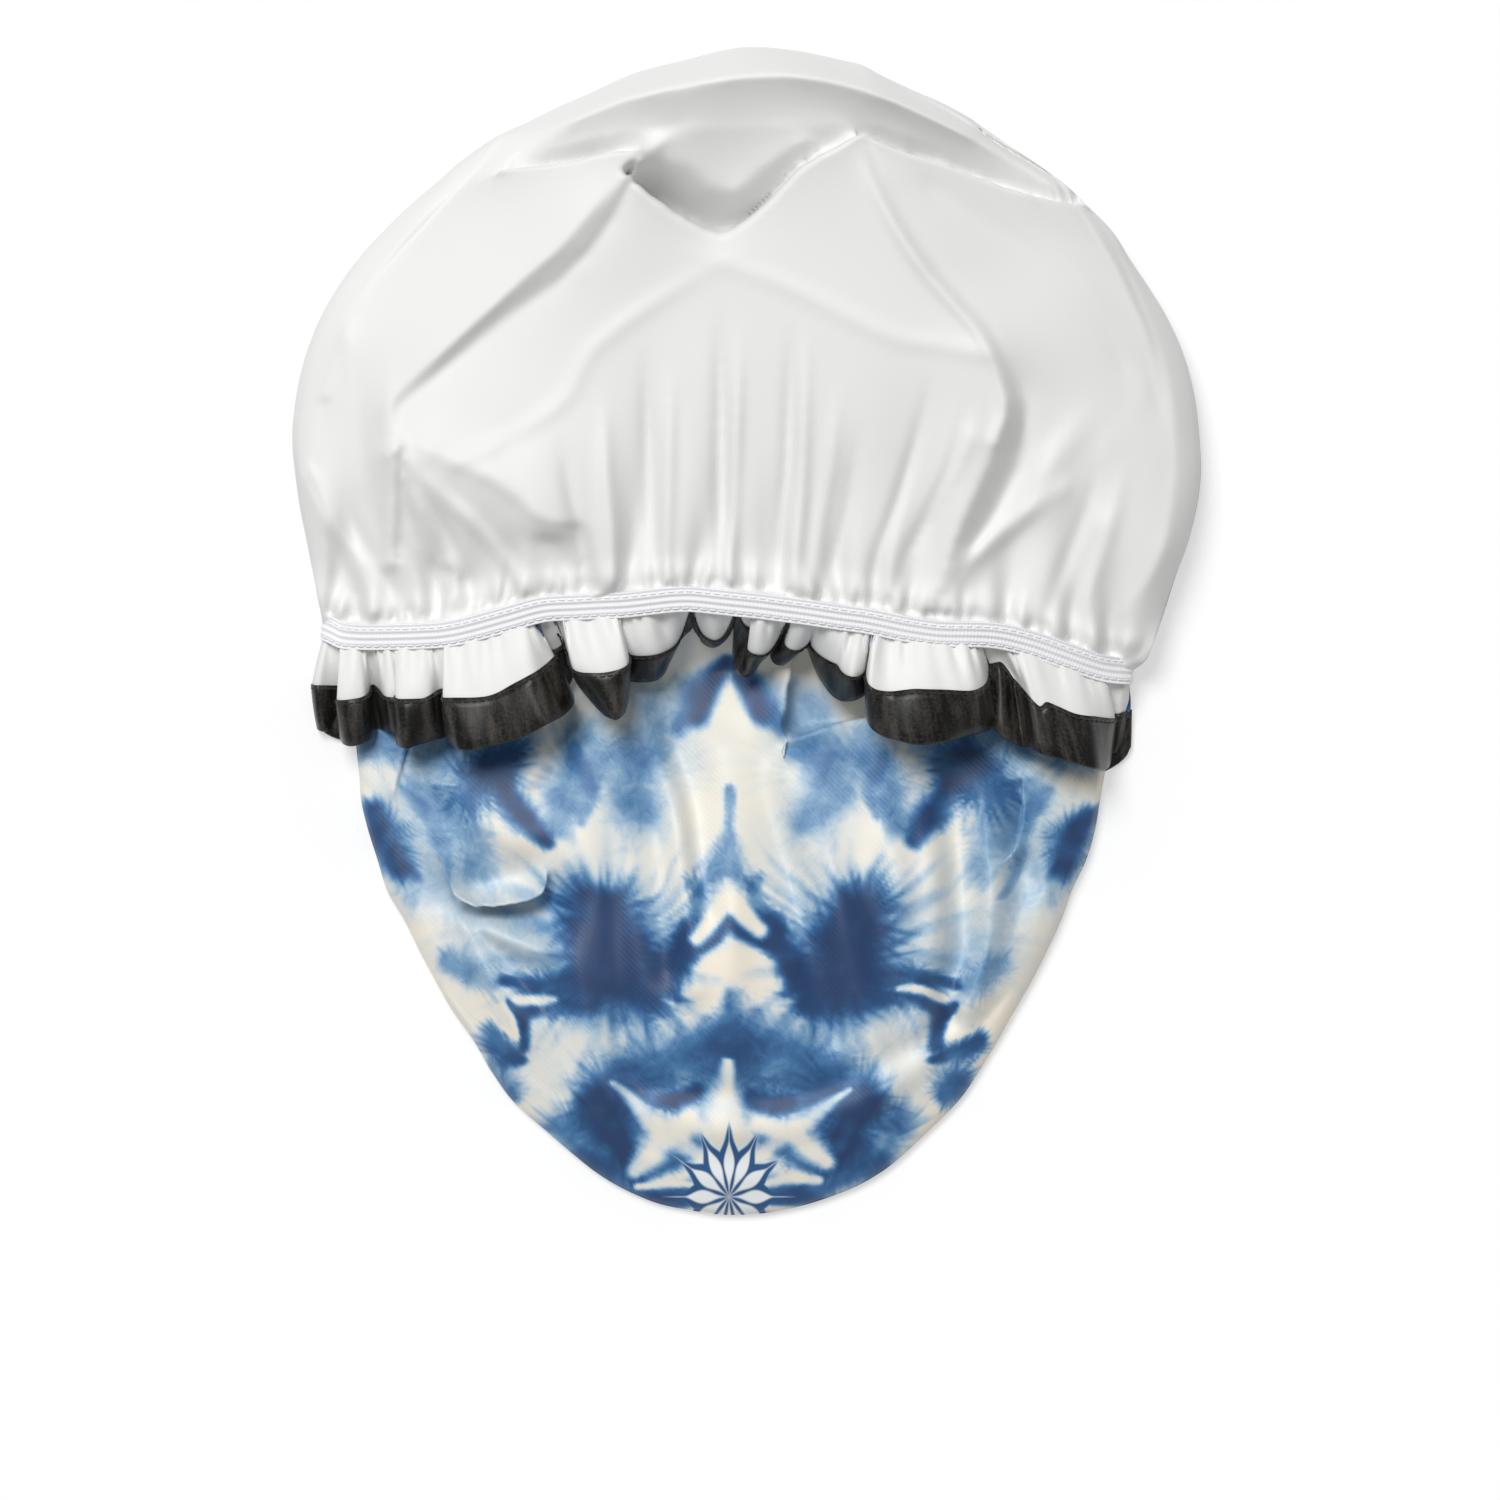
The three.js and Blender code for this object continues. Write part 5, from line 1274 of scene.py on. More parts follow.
def back_of_bag(front_rim, near_line, floor, rim_reach):
    """The lower side of a bag, from its rim to the ring: it turns under at the rim and lies on the table."""
    near = walked(near_line, np.linspace(0.0, 1.0, len(front_rim)))
    reach = np.linalg.norm(near[:, :2] - front_rim[:, :2], axis=1)
    turned = np.minimum(np.array(TURNED_UNDER)[None, :] / np.maximum(reach, 1.0)[:, None], 0.9)
    last = turned[:, -1:]
    more = BACK_ROWS - len(TURNED_UNDER)
    rest = last + (1 - last) * np.linspace(0, 1, more + 1)[None, 1:]
    parts = np.concatenate([turned, rest], axis=1).T
    plan = front_rim[None, :, :2] * (1 - parts[..., None]) + near[None, :, :2] * parts[..., None]
    turn = np.clip(parts * reach[None, :] / rim_reach, 0.0, 1.0)
    height = floor + (front_rim[None, :, 2] - floor) * (1 - np.sqrt(np.clip(2 * turn - turn**2, 0.0, 1.0)))
    to_ring = (1 - parts) * reach[None, :]
    lifted = np.exp(-((to_ring / 10.0) ** 2)) * smooth(parts, 0.0, 0.3)
    height = height * (1 - lifted) + np.maximum(near[None, :, 2], floor) * lifted
    points = np.concatenate([plan, height[..., None]], axis=-1)
    return points, 2 * front_rim[None, :, :2] - plan


def liner_surfaces():
    """The front and the back of the film bag, with their charts."""
    column_shares, row_shares = eased(LINER_CELLS[0], 0.45), eased(LINER_CELLS[1], 0.3)
    plan = bag_plan(
        (LINER_LEFT, LINER_RIGHT, LINER_TOP),
        lambda x: (band_edge(BAND_UPPER, x) + band_edge(BAND_LOWER, x)) / 2,
        row_shares,
        column_shares,
    )
    creases, swells = fold_lines(CROWN_LIPS, CROWN_LINES)
    side_heights = side_rows(plan, row_shares, *LINER_SIDE)
    rise = (np.arange(RISING_ROWS) / RISING_ROWS)[:, None]
    side_heights[:RISING_ROWS] = RING_SIDE_HEIGHT + (side_heights[:RISING_ROWS] - RING_SIDE_HEIGHT) * rise
    side_heights[0] = ring_height(ring_place(plan[0, :, 0])) - 0.6
    left, right = ring_span()
    x = np.linspace(left + 4, right - 4, 500)
    place = ring_place(x)
    height = ring_height(place) + 1.2 * smooth(np.minimum(place, 1 - place), 0.0, 0.1)
    creases.append(np.stack([x, band_edge(BAND_UPPER, x), 0 * x, 0 * x, height], axis=-1))
    field, gap = folded(plan, creases, swells, side_heights, LINER_ROUNDING)
    away = np.maximum(plan[..., 1] - band_edge(BAND_UPPER, plan[..., 0]), 0.0)
    field[..., 2] += swelled(plan) * smooth(gap, 0.0, 12.0) * smooth(away, 2.0, 16.0)
    field[..., 2] += ribbed(plan, FILM_RIBS) * smooth(away, 0.0, 5.0)
    gathers = sum(pleats(plan[..., 0], away, *row) for row in LINER_PLEATS)
    high, apart, wide = PUFF
    puff = high * np.exp(-(((away - apart) / wide) ** 2))
    field[..., 2] += (gathers + puff) * smooth(gap, 0.0, 8.0) * smooth(away, 0.4, 2.6)
    field[..., 2] += rolled(gap, *LINER_ROLL) * smooth(away, 4.0, 20.0)
    front, rim = front_and_rim(plan, field)
    middle, _, out = ring_frames(RING_PLACES, True)
    return front, plan, *back_of_bag(rim, middle + out * LINER_SEAT, *LINER_UNDER)


def satin_surfaces():
    """The front and the back of the satin bag, with their charts."""
    column_shares, row_shares = eased(SATIN_CELLS[0], 0.45), eased(SATIN_CELLS[1], 0.35)
    plan = bag_plan(
        (SATIN_LEFT, SATIN_RIGHT, SATIN_END),
        lambda x: band_edge(BAND_LOWER, x) + 1.0,
        row_shares,
        column_shares,
    )
    side_heights = side_rows(plan, row_shares, *SATIN_SIDE)
    side_heights[0] = np.maximum(ring_height(ring_place(plan[0, :, 0])) - 5.0, SATIN_SIDE[0])
    field, gap = folded(plan, *fold_lines(SATIN_LIPS, SATIN_LINES), side_heights, SATIN_ROUNDING)
    away = np.maximum(band_edge(BAND_LOWER, plan[..., 0]) - plan[..., 1], 0.0)
    gathers = sum(pleats(plan[..., 0], away, *row) for row in SATIN_PLEATS)
    field[..., 2] += gathers * smooth(gap, 0.0, 8.0) * smooth(away, 3.0, 14.0)
    field[..., 2] += ribbed(plan, SATIN_RIBS) * smooth(gap, 3.0, 18.0)
    field[..., 2] += rolled(gap, *SATIN_ROLL) * smooth(away, 6.0, 20.0)
    front, rim = front_and_rim(plan, field)
    middle, width, _ = ring_frames(RING_PLACES, True)
    near_back = middle - width * SATIN_SEAT
    near_back[:, 2] = np.maximum(near_back[:, 2] - 0.6, 1.3)
    return front, plan, *back_of_bag(rim, near_back, *SATIN_UNDER)


def frill_front(depth, shares, satin_front):
    """The frill over the front of the cap: rows from the ring to the hem, columns from left to right. Its
    film and its ribbon each hang as far as they reach, or rest on the satin."""
    stations = curved(FRILL_STATIONS, 3)
    place = np.maximum.accumulate(ring_place(stations[:, 0]))
    ring_places = np.linspace(0.0, 1.0, EDGE_POINTS)
    middle, width, out = ring_frames(ring_places, False)
    down, behind = FRILL_ROOT
    base = read_along(place, ring_places, middle - width * down - out * behind)
    border, hem, up = stations[:, 1:3], stations[:, 3:5], stations[:, 5]
    cover = satin_front.reshape(-1, 3)

    def rest(places):
        gaps, found = nearest_gaps(places, cover)
        return np.where(gaps < 3.0, cover[found, 2], 0.4)

    def drop(cloth, start, stop):
        return np.sqrt(np.maximum(cloth**2 - np.linalg.norm(stop - start, axis=1) ** 2, 0.0))

    b = shares[FRILL_BORDER]
    border_z = np.maximum(base[:, 2] - drop(depth * b, base[:, :2], border), rest(border) + BORDER_LIFT) + up
    hem_low = rest(hem) + HEM_LIFT + HEM_STAND * up
    hem_z = np.maximum(border_z - drop(depth * (1 - b), border, hem), hem_low)
    for _ in range(3):
        for line in (border_z, hem_z):
            line[1:-1] = (line[:-2] + 2 * line[1:-1] + line[2:]) / 4
    border = under_sight(np.concatenate([border, border_z[:, None]], axis=1))
    hem = under_sight(np.concatenate([hem, hem_z[:, None]], axis=1))
    t = shares[:, None, None]
    bent = base * ((t - b) * (t - 1) / b) + border * (t * (t - 1) / (b * (b - 1)))
    bent += hem * (t * (t - b) / (1 - b))
    upper = base * (1 - t / b) + border * (t / b)
    lower = border * (1 - (t - b) / (1 - b)) + hem * ((t - b) / (1 - b))
    front = FRILL_BEND * bent + (1 - FRILL_BEND) * np.where(t < b, upper, lower)
    front[..., 2] += FRILL_PUFF * np.sin(np.pi * np.clip(shares / b, 0, 1))[:, None]
    around, away = np.moveaxis(flat_chart(lengths_along(front[FRILL_BORDER]), depth * shares), -1, 0)
    span = (0.0, around[0, -1])
    puckers = sum(pleats(around, away, count, seed, span, *sizes) for count, seed, *sizes in FRILL_PLEATS)
    front[..., 2] += puckers * smooth(away, 0.0, 2.5)
    return front


def frill_back(depth, shares, front):
    """The frill below the cap, laid flat from right to left in small waves. It joins the front's sides."""
    places = eased(FRILL_BACK_COLUMNS + 2, 0.4)[1:-1]
    middle, width, _ = ring_frames(places, True)
    places = places[::-1]
    foot = (middle - width * FRILL_BACK_ROOT)[::-1]
    foot[:, 2] = np.maximum(foot[:, 2], 1.9)
    turn = 2 * np.pi * FRILL_BACK_WAVES * places
    ripple = np.sin(turn) * smooth(np.minimum(places, 1 - places), 0.02, 0.08)
    sideways, lengthways, upwards = FRILL_BACK_SWAY
    reach = lengthways * ripple - FRILL_BACK_LENGTH * depth
    end = foot + np.stack([sideways * np.cos(turn), reach, 0 * places], axis=-1)
    end[:, 2] = FRILL_BACK_HEIGHT + upwards * ripple
    t = shares[:, None, None]
    laid = foot[None] * (1 - t) + end[None] * t
    to_right = smooth(places, 0.965, 1.0)[None, :, None]
    to_left = (1 - smooth(places, 0.0, 0.035))[None, :, None]
    laid = laid * (1 - to_right) + front[:, -1:] * to_right
    return laid * (1 - to_left) + front[:, :1] * to_left


def frill_surface(satin_front):
    """The middle of the frill's cloth, with its chart: rows from the ring to the hem, columns round the
    ring. Its binding starts at the border's row."""
    sizes = bpy.context.scene.shower_cap_sizes
    depth = sizes.frill_depth / MM
    border = 1 - sizes.binding_depth / sizes.frill_depth
    film, ribbon = np.linspace(0, border, FRILL_BORDER + 1), np.linspace(border, 1, FRILL_BORDER + 1)
    shares = np.concatenate([film, ribbon[1:]])
    front = frill_front(depth, shares, satin_front)
    whole = np.concatenate([front, frill_back(depth, shares, front), front[:, :1]], axis=1)
    whole[..., 2] = np.maximum(whole[..., 2], FRILL_FLOOR)
    return whole, flat_chart(lengths_along(whole[0]), FRILL_CHART + depth * shares)


def closed_normals(grid):
    """The normals of a closed grid of points, from its rows and columns, alike where its sides meet."""
    normals = unit(np.cross(np.gradient(grid, axis=0), np.gradient(grid, axis=1)))
    normals[:, -1] = normals[:, 0]
    return normals


def add_node(tree, kind, place, settings=None, **links):
    """A shader node with its settings, and its inputs linked or set. The key in_0 is input number 0."""
    node = tree.nodes.new(kind)
    node.location = place
    for name, value in (settings or {}).items():
        setattr(node, name, value)
    for name, value in links.items():
        key = int(name[3:]) if name.startswith("in_") else name.replace("_", " ").title()
        socket = node.inputs[key]
        if isinstance(value, bpy.types.NodeSocket):
            tree.links.new(value, socket)
        else:
            socket.default_value = value
    return node


def maths(tree, operation, place, *values):
    """A sum of shader values, as the output of its node."""
    links = {f"in_{number}": value for number, value in enumerate(values)}
    return add_node(tree, "ShaderNodeMath", place, {"operation": operation}, **links).outputs["Value"]


def ranged(tree, place, value, start, stop, first=1.0):
    """A shader value that falls to 0 as the given value runs from start to stop."""
    limits = {"From_Min": start, "From_Max": stop, "To_Min": first, "To_Max": 0.0}
    held = {"clamp": True}
    return add_node(tree, "ShaderNodeMapRange", place, held, Value=value, **limits).outputs["Result"]


def noise(tree, place, cloth, **looks):
    """Soft random specks over the cloth."""
    return add_node(tree, "ShaderNodeTexNoise", place, None, Vector=cloth, **looks).outputs["Fac"]


def bands(tree, direction, cloth, **looks):
    """Even bands over the cloth."""
    settings = {"wave_type": "BANDS", "bands_direction": direction}
    return add_node(tree, "ShaderNodeTexWave", (-600, -500), settings, Vector=cloth, **looks).outputs["Fac"]


def raised(tree, shader, height, strength, distance):
    """A fine relief of the shader's surface."""
    sizes = {"Strength": strength, "Distance": distance}
    bump = add_node(tree, "ShaderNodeBump", (-300, -500), None, Height=height, **sizes)
    tree.links.new(bump.outputs["Normal"], shader.inputs["Normal"])


def new_material(name, base, roughness, **looks):
    """A material with one shader, its tree and that shader."""
    material = bpy.data.materials.new(name)
    material.use_nodes = True
    tree = material.node_tree
    shader = tree.nodes["Principled BSDF"]
    looks.update(Base_Color=base, Roughness=roughness)
    for key, value in looks.items():
        shader.inputs[key.replace("_", " ")].default_value = value
    return material, tree, shader


def cloth_material(name, base, roughness, **looks):
    """A new material, with each place's flat place on the cut cloth."""
    material, tree, shader = new_material(name, base, roughness, **looks)
    cloth = add_node(tree, "ShaderNodeUVMap", (-2200, 0), {"uv_map": "cloth"}).outputs["UV"]
    return material, tree, shader, cloth


def mixed(tree, place, share, first, second):
    """A shader that goes over from the first to the second by the share."""
    links = {"in_0": share, "in_1": first, "in_2": second}
    return add_node(tree, "ShaderNodeMixShader", place, None, **links).outputs["Shader"]


def film_material():
    """PEVA film, cast and embossed with a fine haze: a soft white with a broad, weak gloss."""
    white = (*bpy.context.scene.shower_cap_colours.film, 1.0)
    material, tree, shader, cloth = cloth_material(
        "cast white PEVA film", white, 0.5, IOR=1.45, Specular_IOR_Level=0.25
    )
    haze = noise(tree, (-600, -200), cloth, Scale=420.0, Detail=3.0, Roughness=0.6)
    raised(tree, shader, haze, 0.12, 0.0002)
    return material


def star_nodes(tree, cloth):
    """The tie-dyed star at the satin's pole: how blue and how white it makes each place."""
    parts = add_node(tree, "ShaderNodeSeparateXYZ", (-2000, 600), None, Vector=cloth)
    x = maths(tree, "SUBTRACT", (-1800, 700), parts.outputs["X"], DYE_LINE * MM)
    y = maths(tree, "SUBTRACT", (-1800, 500), parts.outputs["Y"], DYE_POLE * MM)
    y = maths(tree, "DIVIDE", (-1600, 500), y, STAR_STRETCH)
    x_square = maths(tree, "MULTIPLY", (-1500, 700), x, x)
    y_square = maths(tree, "MULTIPLY", (-1500, 500), y, y)
    out = maths(tree, "SQRT", (-1200, 600), maths(tree, "ADD", (-1400, 600), x_square, y_square))
    turn = maths(tree, "ARCTAN2", (-1400, 400), x, y)
    petal = maths(tree, "MULTIPLY", (-1200, 400), turn, STAR_PETALS / (2 * math.pi))
    petal = maths(tree, "PINGPONG", (-1000, 400), petal, 0.5)
    off = maths(tree, "MULTIPLY", (-800, 400), petal, 2 * math.pi / STAR_PETALS)
    off = maths(tree, "MULTIPLY", (-600, 400), maths(tree, "SINE", (-700, 300), off), out)
    along = maths(tree, "DIVIDE", (-1000, 700), out, STAR_PETAL * MM)
    along = maths(tree, "POWER", (-900, 800), maths(tree, "MINIMUM", (-800, 700), along, 1.0), 1.3)
    round_side = maths(tree, "SINE", (-600, 700), maths(tree, "MULTIPLY", (-700, 700), along, math.pi))
    belly = maths(tree, "MULTIPLY", (-550, 800), round_side, round_side)
    belly = maths(tree, "MULTIPLY", (-500, 700), belly, STAR_BELLY * MM)
    past = maths(tree, "SUBTRACT", (-400, 500), off, belly)
    white = ranged(tree, (-200, 600), past, -0.0003, 0.0003)
    tips = ranged(tree, (-200, 300), out, STAR_REACH * 0.55 * MM, STAR_REACH * MM, 0.0026)
    blue = ranged(tree, (0, 300), maths(tree, "SUBTRACT", (-100, 200), past, tips), -0.0004, 0.0005)
    near = ranged(tree, (0, 100), out, STAR_REACH * 0.9 * MM, STAR_REACH * 1.15 * MM)
    return maths(tree, "MULTIPLY", (200, 300), blue, near), maths(tree, "MULTIPLY", (200, 600), white, near)


def satin_material():
    """Polyester satin, tie-dyed in indigo on cream: streaky blues with ragged edges under a silky sheen."""
    material, tree, shader, cloth = cloth_material(
        "tie dyed polyester satin", linear("#8FB4DA"), 0.52,
        Specular_IOR_Level=0.5, Anisotropic=0.4, Sheen_Weight=0.12, Sheen_Roughness=0.4,
    )
    indigo = add_node(tree, "ShaderNodeAttribute", (-1400, 0), {"attribute_name": "indigo"}).outputs["Fac"]
    streaks = noise(tree, (-1400, -250), cloth, Scale=210.0, Detail=4.0, Roughness=0.65, Distortion=0.8)
    loose = maths(tree, "MULTIPLY", (-1200, 0), indigo, maths(tree, "SUBTRACT", (-1300, -100), 1.0, indigo))
    drift = maths(tree, "MULTIPLY", (-1000, -200), maths(tree, "SUBTRACT", (-1200, -250), streaks, 0.5), 1.5)
    drift = maths(tree, "MULTIPLY", (-900, -100), drift, loose)
    share = maths(tree, "ADD", (-800, 0), indigo, drift)
    blue, white = star_nodes(tree, cloth)
    share = maths(tree, "MAXIMUM", (300, 0), share, maths(tree, "MULTIPLY", (300, 200), blue, 0.86))
    ramp = add_node(tree, "ShaderNodeValToRGB", (450, 0), None, Fac=share)
    stops = ramp.color_ramp.elements
    stops[0].color, stops[1].color = linear(INDIGO[0][1]), linear(INDIGO[-1][1])
    for place, code in INDIGO[1:-1]:
        stops.new(place).color = linear(code)
    colour = add_node(
        tree, "ShaderNodeMix", (800, 0), {"data_type": "RGBA"},
        in_0=white, in_6=ramp.outputs["Color"], in_7=linear("#EDF2F4"),
    ).outputs[2]
    tree.links.new(colour, shader.inputs["Base Color"])
    # The weave is drawn at about 1.3 mm: at its real 0.2 mm it would be finer than a pixel
    weave = bands(tree, "DIAGONAL", cloth, Scale=330.0, Distortion=0.6, Detail=1.0)
    raised(tree, shader, weave, 0.08, 0.0003)
    return material


def elastic_material():
    """Braided elastic: a bluish white of matt yarn with knots that run across its ribs."""
    white = linear("#F4F4F7")
    material, tree, shader, cloth = cloth_material("white braided elastic", white, 0.75, Sheen_Weight=0.1)
    # The knots are drawn at 1.2 mm, half again their real pitch, which would be finer than two pixels
    knots = bands(tree, "X", cloth, Scale=260.0, Distortion=2.5, Detail=2.0)
    raised(tree, shader, knots, 0.2, 0.0004)
    return material


def ribbon_material():
    """Black satin ribbon: near black, with a painted sheen of lighter grey-brown streaks in its colour that run
    down its folds, and a fine speckle.
    """
    material, tree, shader, cloth = cloth_material(
        "black satin ribbon", linear("#161614"), 0.4,
        Anisotropic=0.6, Specular_IOR_Level=0.32, Sheen_Weight=0.02,
    )
    # Painted sheen: lighter grey-brown streaks in the base colour, stretched down the ribbon, stand in for the
    # satin's highlights; the fine speckle is the ribbon's own
    stretch = add_node(tree, "ShaderNodeMapping", (-1000, 0), None, Vector=cloth, Scale=(1.0, 0.22, 1.0))
    painted_glints = noise(tree, (-800, 0), stretch.outputs["Vector"], Scale=230.0, Detail=3.0, Roughness=0.6)
    speckle = noise(tree, (-800, -300), cloth, Scale=1100.0, Detail=1.0)
    both = maths(tree, "ADD", (-600, 0), painted_glints, maths(tree, "MULTIPLY", (-700, -200), speckle, 0.35))
    # The ramp runs from the ribbon's near black to the grey-brown of the painted sheen
    ramp = add_node(tree, "ShaderNodeValToRGB", (-400, 0), None, Fac=both)
    for stop, place, code in zip(ramp.color_ramp.elements, (0.58, 0.95), ("#0B0B0A", "#4A4641")):
        stop.position = place
        stop.color = linear(code)
    tree.links.new(ramp.outputs["Color"], shader.inputs["Base Color"])
    raised(tree, shader, both, 0.2, 0.0003)
    return material


def thread_material(name, code):
    """Spun polyester thread: matt, with the slanting lines of its twist."""
    material, tree, shader, cloth = cloth_material(name, linear(code), 0.6, Sheen_Weight=0.1)
    # The twist is drawn at about 1 mm a turn along the thread
    raised(tree, shader, bands(tree, "DIAGONAL", cloth, Scale=600.0), 0.4, 0.0001)
    return material


def size_setting(name, description, default, low, high):
    """A length that the panel shows."""
    kind = {"subtype": "DISTANCE", "unit": "LENGTH"}
    return bpy.props.FloatProperty(
        name=name, description=description, default=default, min=low, max=high, **kind
    )


class ShowerCapSizes(bpy.types.PropertyGroup):
    """Sizes of the cap's trims"""

    elastic_width: size_setting("Elastic Width", "Width of the elastic round the mouth", 0.0088, 0.004, 0.02)
    frill_depth: size_setting("Frill Depth", "Depth from the elastic to the hem", 0.033, 0.01, 0.06)
    binding_depth: size_setting("Binding Depth", "Depth of the ribbon that binds it", 0.0162, 0.005, 0.03)


class ShowerCapColours(bpy.types.PropertyGroup):
    """Colour of the cap's film"""

    film: bpy.props.FloatVectorProperty(
        name="Film",
        description="Colour of the liner's film",
        default=linear("#EAEAE9")[:3],
        min=0.0,
        max=1.0,
        size=3,
        subtype="COLOR",
    )


# Surfaces that one operator makes and the next ones rest their pieces on
SURFACES = {}


class SHOWERCAP_OT_satin(bpy.types.Operator):
    """Build the satin bag"""

    bl_idname = "showercap.satin"
    bl_label = "Satin Outer"

    def execute(self, context):
        front, chart, back, back_chart = satin_surfaces()
        SURFACES["satin_front"] = front
        upper = cloth_grid("satin_front", front, chart, flipped=True, tie_dye=True)
        lower = cloth_grid("satin_back", back, back_chart, tie_dye=True)
        bag = smoothed(joined([upper, lower], "satin_outer_cloth", SEAM))
        dressed(bag, ["satin_outer"], satin_material())
        return {"FINISHED"}


class SHOWERCAP_OT_liner(bpy.types.Operator):
    """Build the film liner: its bag and the white face of the frill"""

    bl_idname = "showercap.liner"
    bl_label = "Film Liner"

    def execute(self, context):
        front, chart, back, back_chart = liner_surfaces()
        SURFACES["frill"] = frill_surface(SURFACES["satin_front"])
        upper = cloth_grid("liner_front", front, chart)
        lower = cloth_grid("liner_back", back, back_chart, flipped=True)
        bag = joined([upper, lower], "liner_bag", SEAM)
        ply = closed_grid("frill_film", *SURFACES["frill"], flipped=True)
        liner = smoothed(joined([bag, ply], "film_liner"))
        dressed(liner, ["peva_liner"], film_material())
        return {"FINISHED"}


class SHOWERCAP_OT_frill(bpy.types.Operator):
    """Build the frill's satin backing and its black binding"""

    bl_idname = "showercap.frill"
    bl_label = "Frill Backing And Binding"

    def execute(self, context):
        frill, chart = SURFACES["frill"]
        out = closed_normals(frill)
        under = closed_grid("frill_satin", frill - out * BACKING_GAP, chart, flipped=True, tie_dye=True)
        satin = bpy.data.objects["satin_outer_cloth"]
        under.data.materials.append(satin.data.materials[0])
        satin = smoothed(joined([satin, under], "satin_outer_cloth"))
        ribbon, out = frill[FRILL_BORDER:], out[FRILL_BORDER:]
        face, rear = ribbon + out * BINDING_FRONT, ribbon - out * BINDING_REAR
        past_hem, below = BINDING_FOLD
        fold = ribbon[-1:] + unit(frill[-1] - frill[-2])[None] * past_hem + out[-1:] * below
        front_end, folded_at, rear_start, rear_end = BINDING_CHART
        front_down = np.linspace(0, front_end, len(face))
        down = np.concatenate([front_down, [folded_at], np.linspace(rear_start, rear_end, len(rear))])
        binding = closed_grid(
            "edge_binding_ribbon",
            np.concatenate([face, fold, rear[::-1]]),
            flat_chart(lengths_along(face[0]), down),
            flipped=True,
        )
        thickened(binding, BINDING_WALL)
        dressed(binding, ["edge_binding"], ribbon_material())
        return {"FINISHED"}


class SHOWERCAP_OT_elastic(bpy.types.Operator):
    """Build the braided elastic round the mouth"""

    bl_idname = "showercap.elastic"
    bl_label = "Elastic"

    def execute(self, context):
        middle, width, out = ring_loop()
        shares = np.linspace(-0.5, 0.5, ELASTIC_POINTS)
        across = shares * elastic_width()
        ribs = ELASTIC_RIB * np.cos(2 * np.pi * ELASTIC_RIBS * (shares + 0.5))
        lift = ELASTIC_LIFT + ribs - ELASTIC_ROUND * (2 * shares) ** 4
        points = middle[None] + width[None] * across[:, None, None] + out[None] * lift[:, None, None]
        points = np.concatenate([points, points[:, :1]], axis=1)
        around = lengths_along(points[len(shares) // 2])
        band = closed_grid("elastic_braid", points, flat_chart(around, across))
        thickened(band, ELASTIC_WALL)
        dressed(band, ["elastic_band"], elastic_material())
        return {"FINISHED"}


class SHOWERCAP_OT_stitches(bpy.types.Operator):
    """Sew the two white rows through the elastic and the two black rows of the binding"""

    bl_idname = "showercap.stitches"
    bl_label = "Stitches"

    def execute(self, context):
        middle, width, out = ring_loop()
        white = thread_material("white spun polyester thread", "#F2F2F2")
        for name, share in ELASTIC_ROWS.items():
            line = middle + width * (share * elastic_width()) + out * ELASTIC_ROW_LIFT
            row = thread_row(f"{name}_thread", line, out, ELASTIC_STITCH)
            dressed(row, [name], white)
        frill, _ = SURFACES["frill"]
        out = closed_normals(frill)[FRILL_BORDER]
        border, next_row = frill[FRILL_BORDER], frill[FRILL_BORDER + 1]
        line = (1 - BINDING_ROW_PLACE) * border + BINDING_ROW_PLACE * next_row
        black = thread_material("black spun polyester thread", "#1C1C1B")
        for name, (side, above) in BINDING_ROWS.items():
            lifted = (line + side * above * out)[:-1]
            row = thread_row(f"{name}_thread", lifted, side * out[:-1], BINDING_STITCH)
            dressed(row, [name], black)
        return {"FINISHED"}


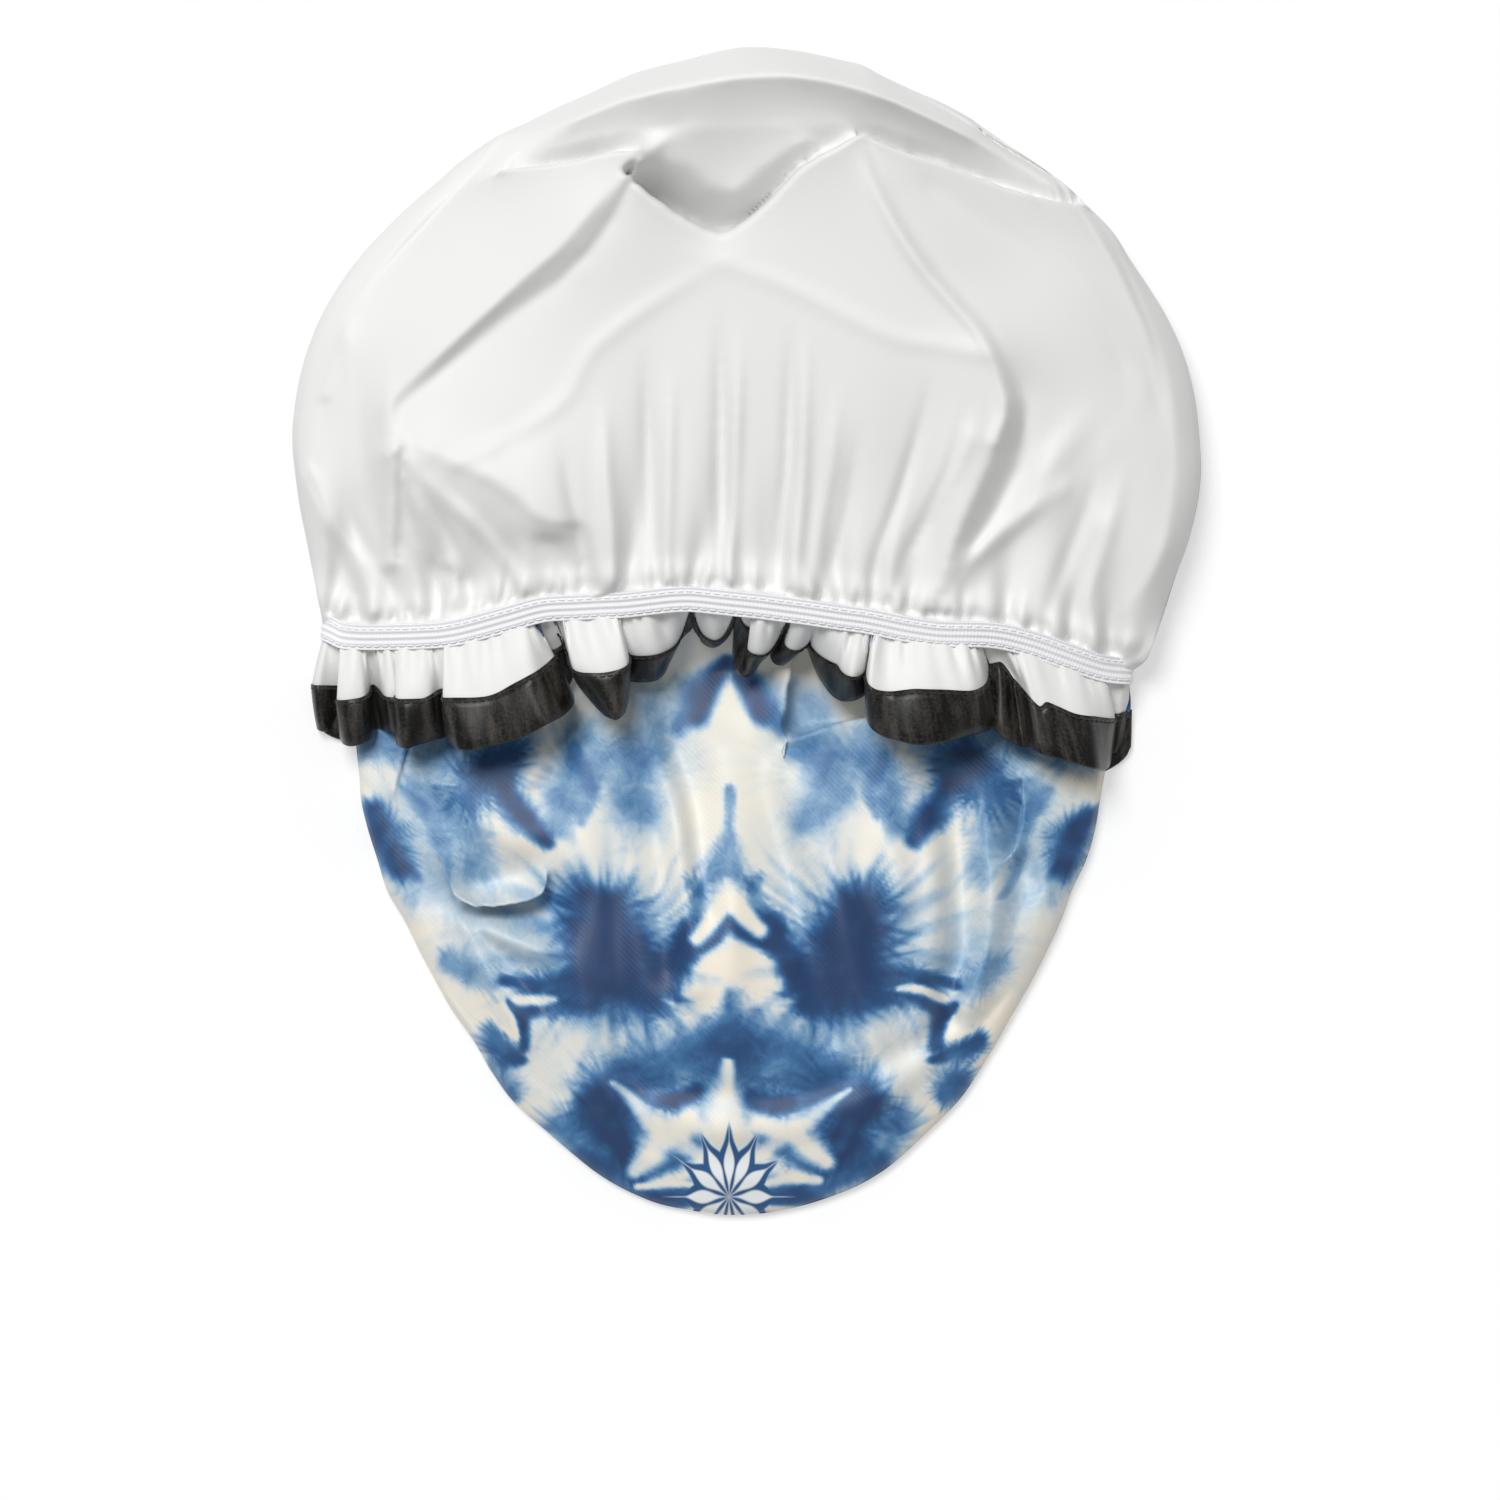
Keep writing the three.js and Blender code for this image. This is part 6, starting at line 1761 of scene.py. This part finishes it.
class SHOWERCAP_OT_stage(bpy.types.Operator):
    """Set the table, the lights and the camera"""

    bl_idname = "showercap.stage"
    bl_label = "Stage"

    def execute(self, context):
        scene = context.scene
        scene.view_settings.view_transform = "Standard"
        select_only()
        bpy.ops.mesh.primitive_plane_add(size=TABLE_SIZE, location=(0.0, 0.0, 0.0))
        floor = context.object
        floor.name = "table_top"
        material, tree, shader = new_material("pale grey table top", linear("#E2E2E2"), 0.9)
        floor.data.materials.append(material)
        # The camera and the gloss see a bright backdrop there, and all other light a pale table
        path = add_node(tree, "ShaderNodeLightPath", (-500, 300)).outputs
        seen = maths(tree, "MAXIMUM", (-300, 400), path["Is Camera Ray"], path["Is Glossy Ray"])
        glow = add_node(tree, "ShaderNodeEmission", (-300, 200), None, Color=WHITE, Strength=1.0)
        matt = add_node(tree, "ShaderNodeBsdfDiffuse", (-300, 0), None, Color=WHITE)
        backdrop = mixed(tree, (-50, 200), 0.5, matt.outputs["BSDF"], glow.outputs["Emission"])
        whole = mixed(tree, (200, 200), seen, shader.outputs["BSDF"], backdrop)
        tree.links.new(whole, tree.nodes["Material Output"].inputs["Surface"])
        world = bpy.data.worlds.new("soft white room")
        scene.world = world
        world.use_nodes = True
        background = world.node_tree.nodes["Background"]
        background.inputs["Color"].default_value = WHITE
        background.inputs["Strength"].default_value = ROOM_LIGHT
        bpy.ops.object.light_add(type="SUN", location=SUN_PLACE)
        key = context.object
        key.name = "window_light"
        key.data.angle = math.radians(SUN_ANGLE)
        key.data.energy = SUN_LIGHT
        key.rotation_euler = Vector(SUN_AIM).to_track_quat("-Z", "Y").to_euler()
        eye = bpy.data.cameras.new("camera")
        camera = bpy.data.objects.new("camera", eye)
        scene.collection.objects.link(camera)
        camera.location = (VIEW_MIDDLE[0] * MM, VIEW_MIDDLE[1] * MM, VIEW_HEIGHT * MM)
        camera.rotation_euler = (0.0, 0.0, 0.0)
        eye.sensor_width = SENSOR
        eye.lens = SENSOR * VIEW_HEIGHT / VIEW_WIDTH
        eye.clip_end = VIEW_END
        scene.camera = camera
        return {"FINISHED"}


class SHOWERCAP_PT_panel(bpy.types.Panel):
    """The sizes, the colour and the pieces of the cap"""

    bl_label = "Shower Cap"
    bl_idname = "SHOWERCAP_PT_panel"
    bl_space_type = "VIEW_3D"
    bl_region_type = "UI"
    bl_category = "Shower Cap"

    def draw(self, context):
        layout = self.layout
        for group in (context.scene.shower_cap_sizes, context.scene.shower_cap_colours):
            for name in group.__annotations__:
                layout.prop(group, name)
        for name in STEPS:
            layout.operator(f"showercap.{name}")


STEPS = ("satin", "liner", "frill", "elastic", "stitches", "stage")

CLASSES = (
    ShowerCapSizes,
    ShowerCapColours,
    SHOWERCAP_OT_satin,
    SHOWERCAP_OT_liner,
    SHOWERCAP_OT_frill,
    SHOWERCAP_OT_elastic,
    SHOWERCAP_OT_stitches,
    SHOWERCAP_OT_stage,
    SHOWERCAP_PT_panel,
)


def register():
    for item in CLASSES:
        bpy.utils.register_class(item)
    bpy.types.Scene.shower_cap_sizes = bpy.props.PointerProperty(type=ShowerCapSizes)
    bpy.types.Scene.shower_cap_colours = bpy.props.PointerProperty(type=ShowerCapColours)


def unregister():
    del bpy.types.Scene.shower_cap_colours
    del bpy.types.Scene.shower_cap_sizes
    for item in reversed(CLASSES):
        bpy.utils.unregister_class(item)


def main():
    register()
    select_only()
    for name in STEPS:
        getattr(bpy.ops.showercap, name)()


if __name__ == "__main__":
    main()
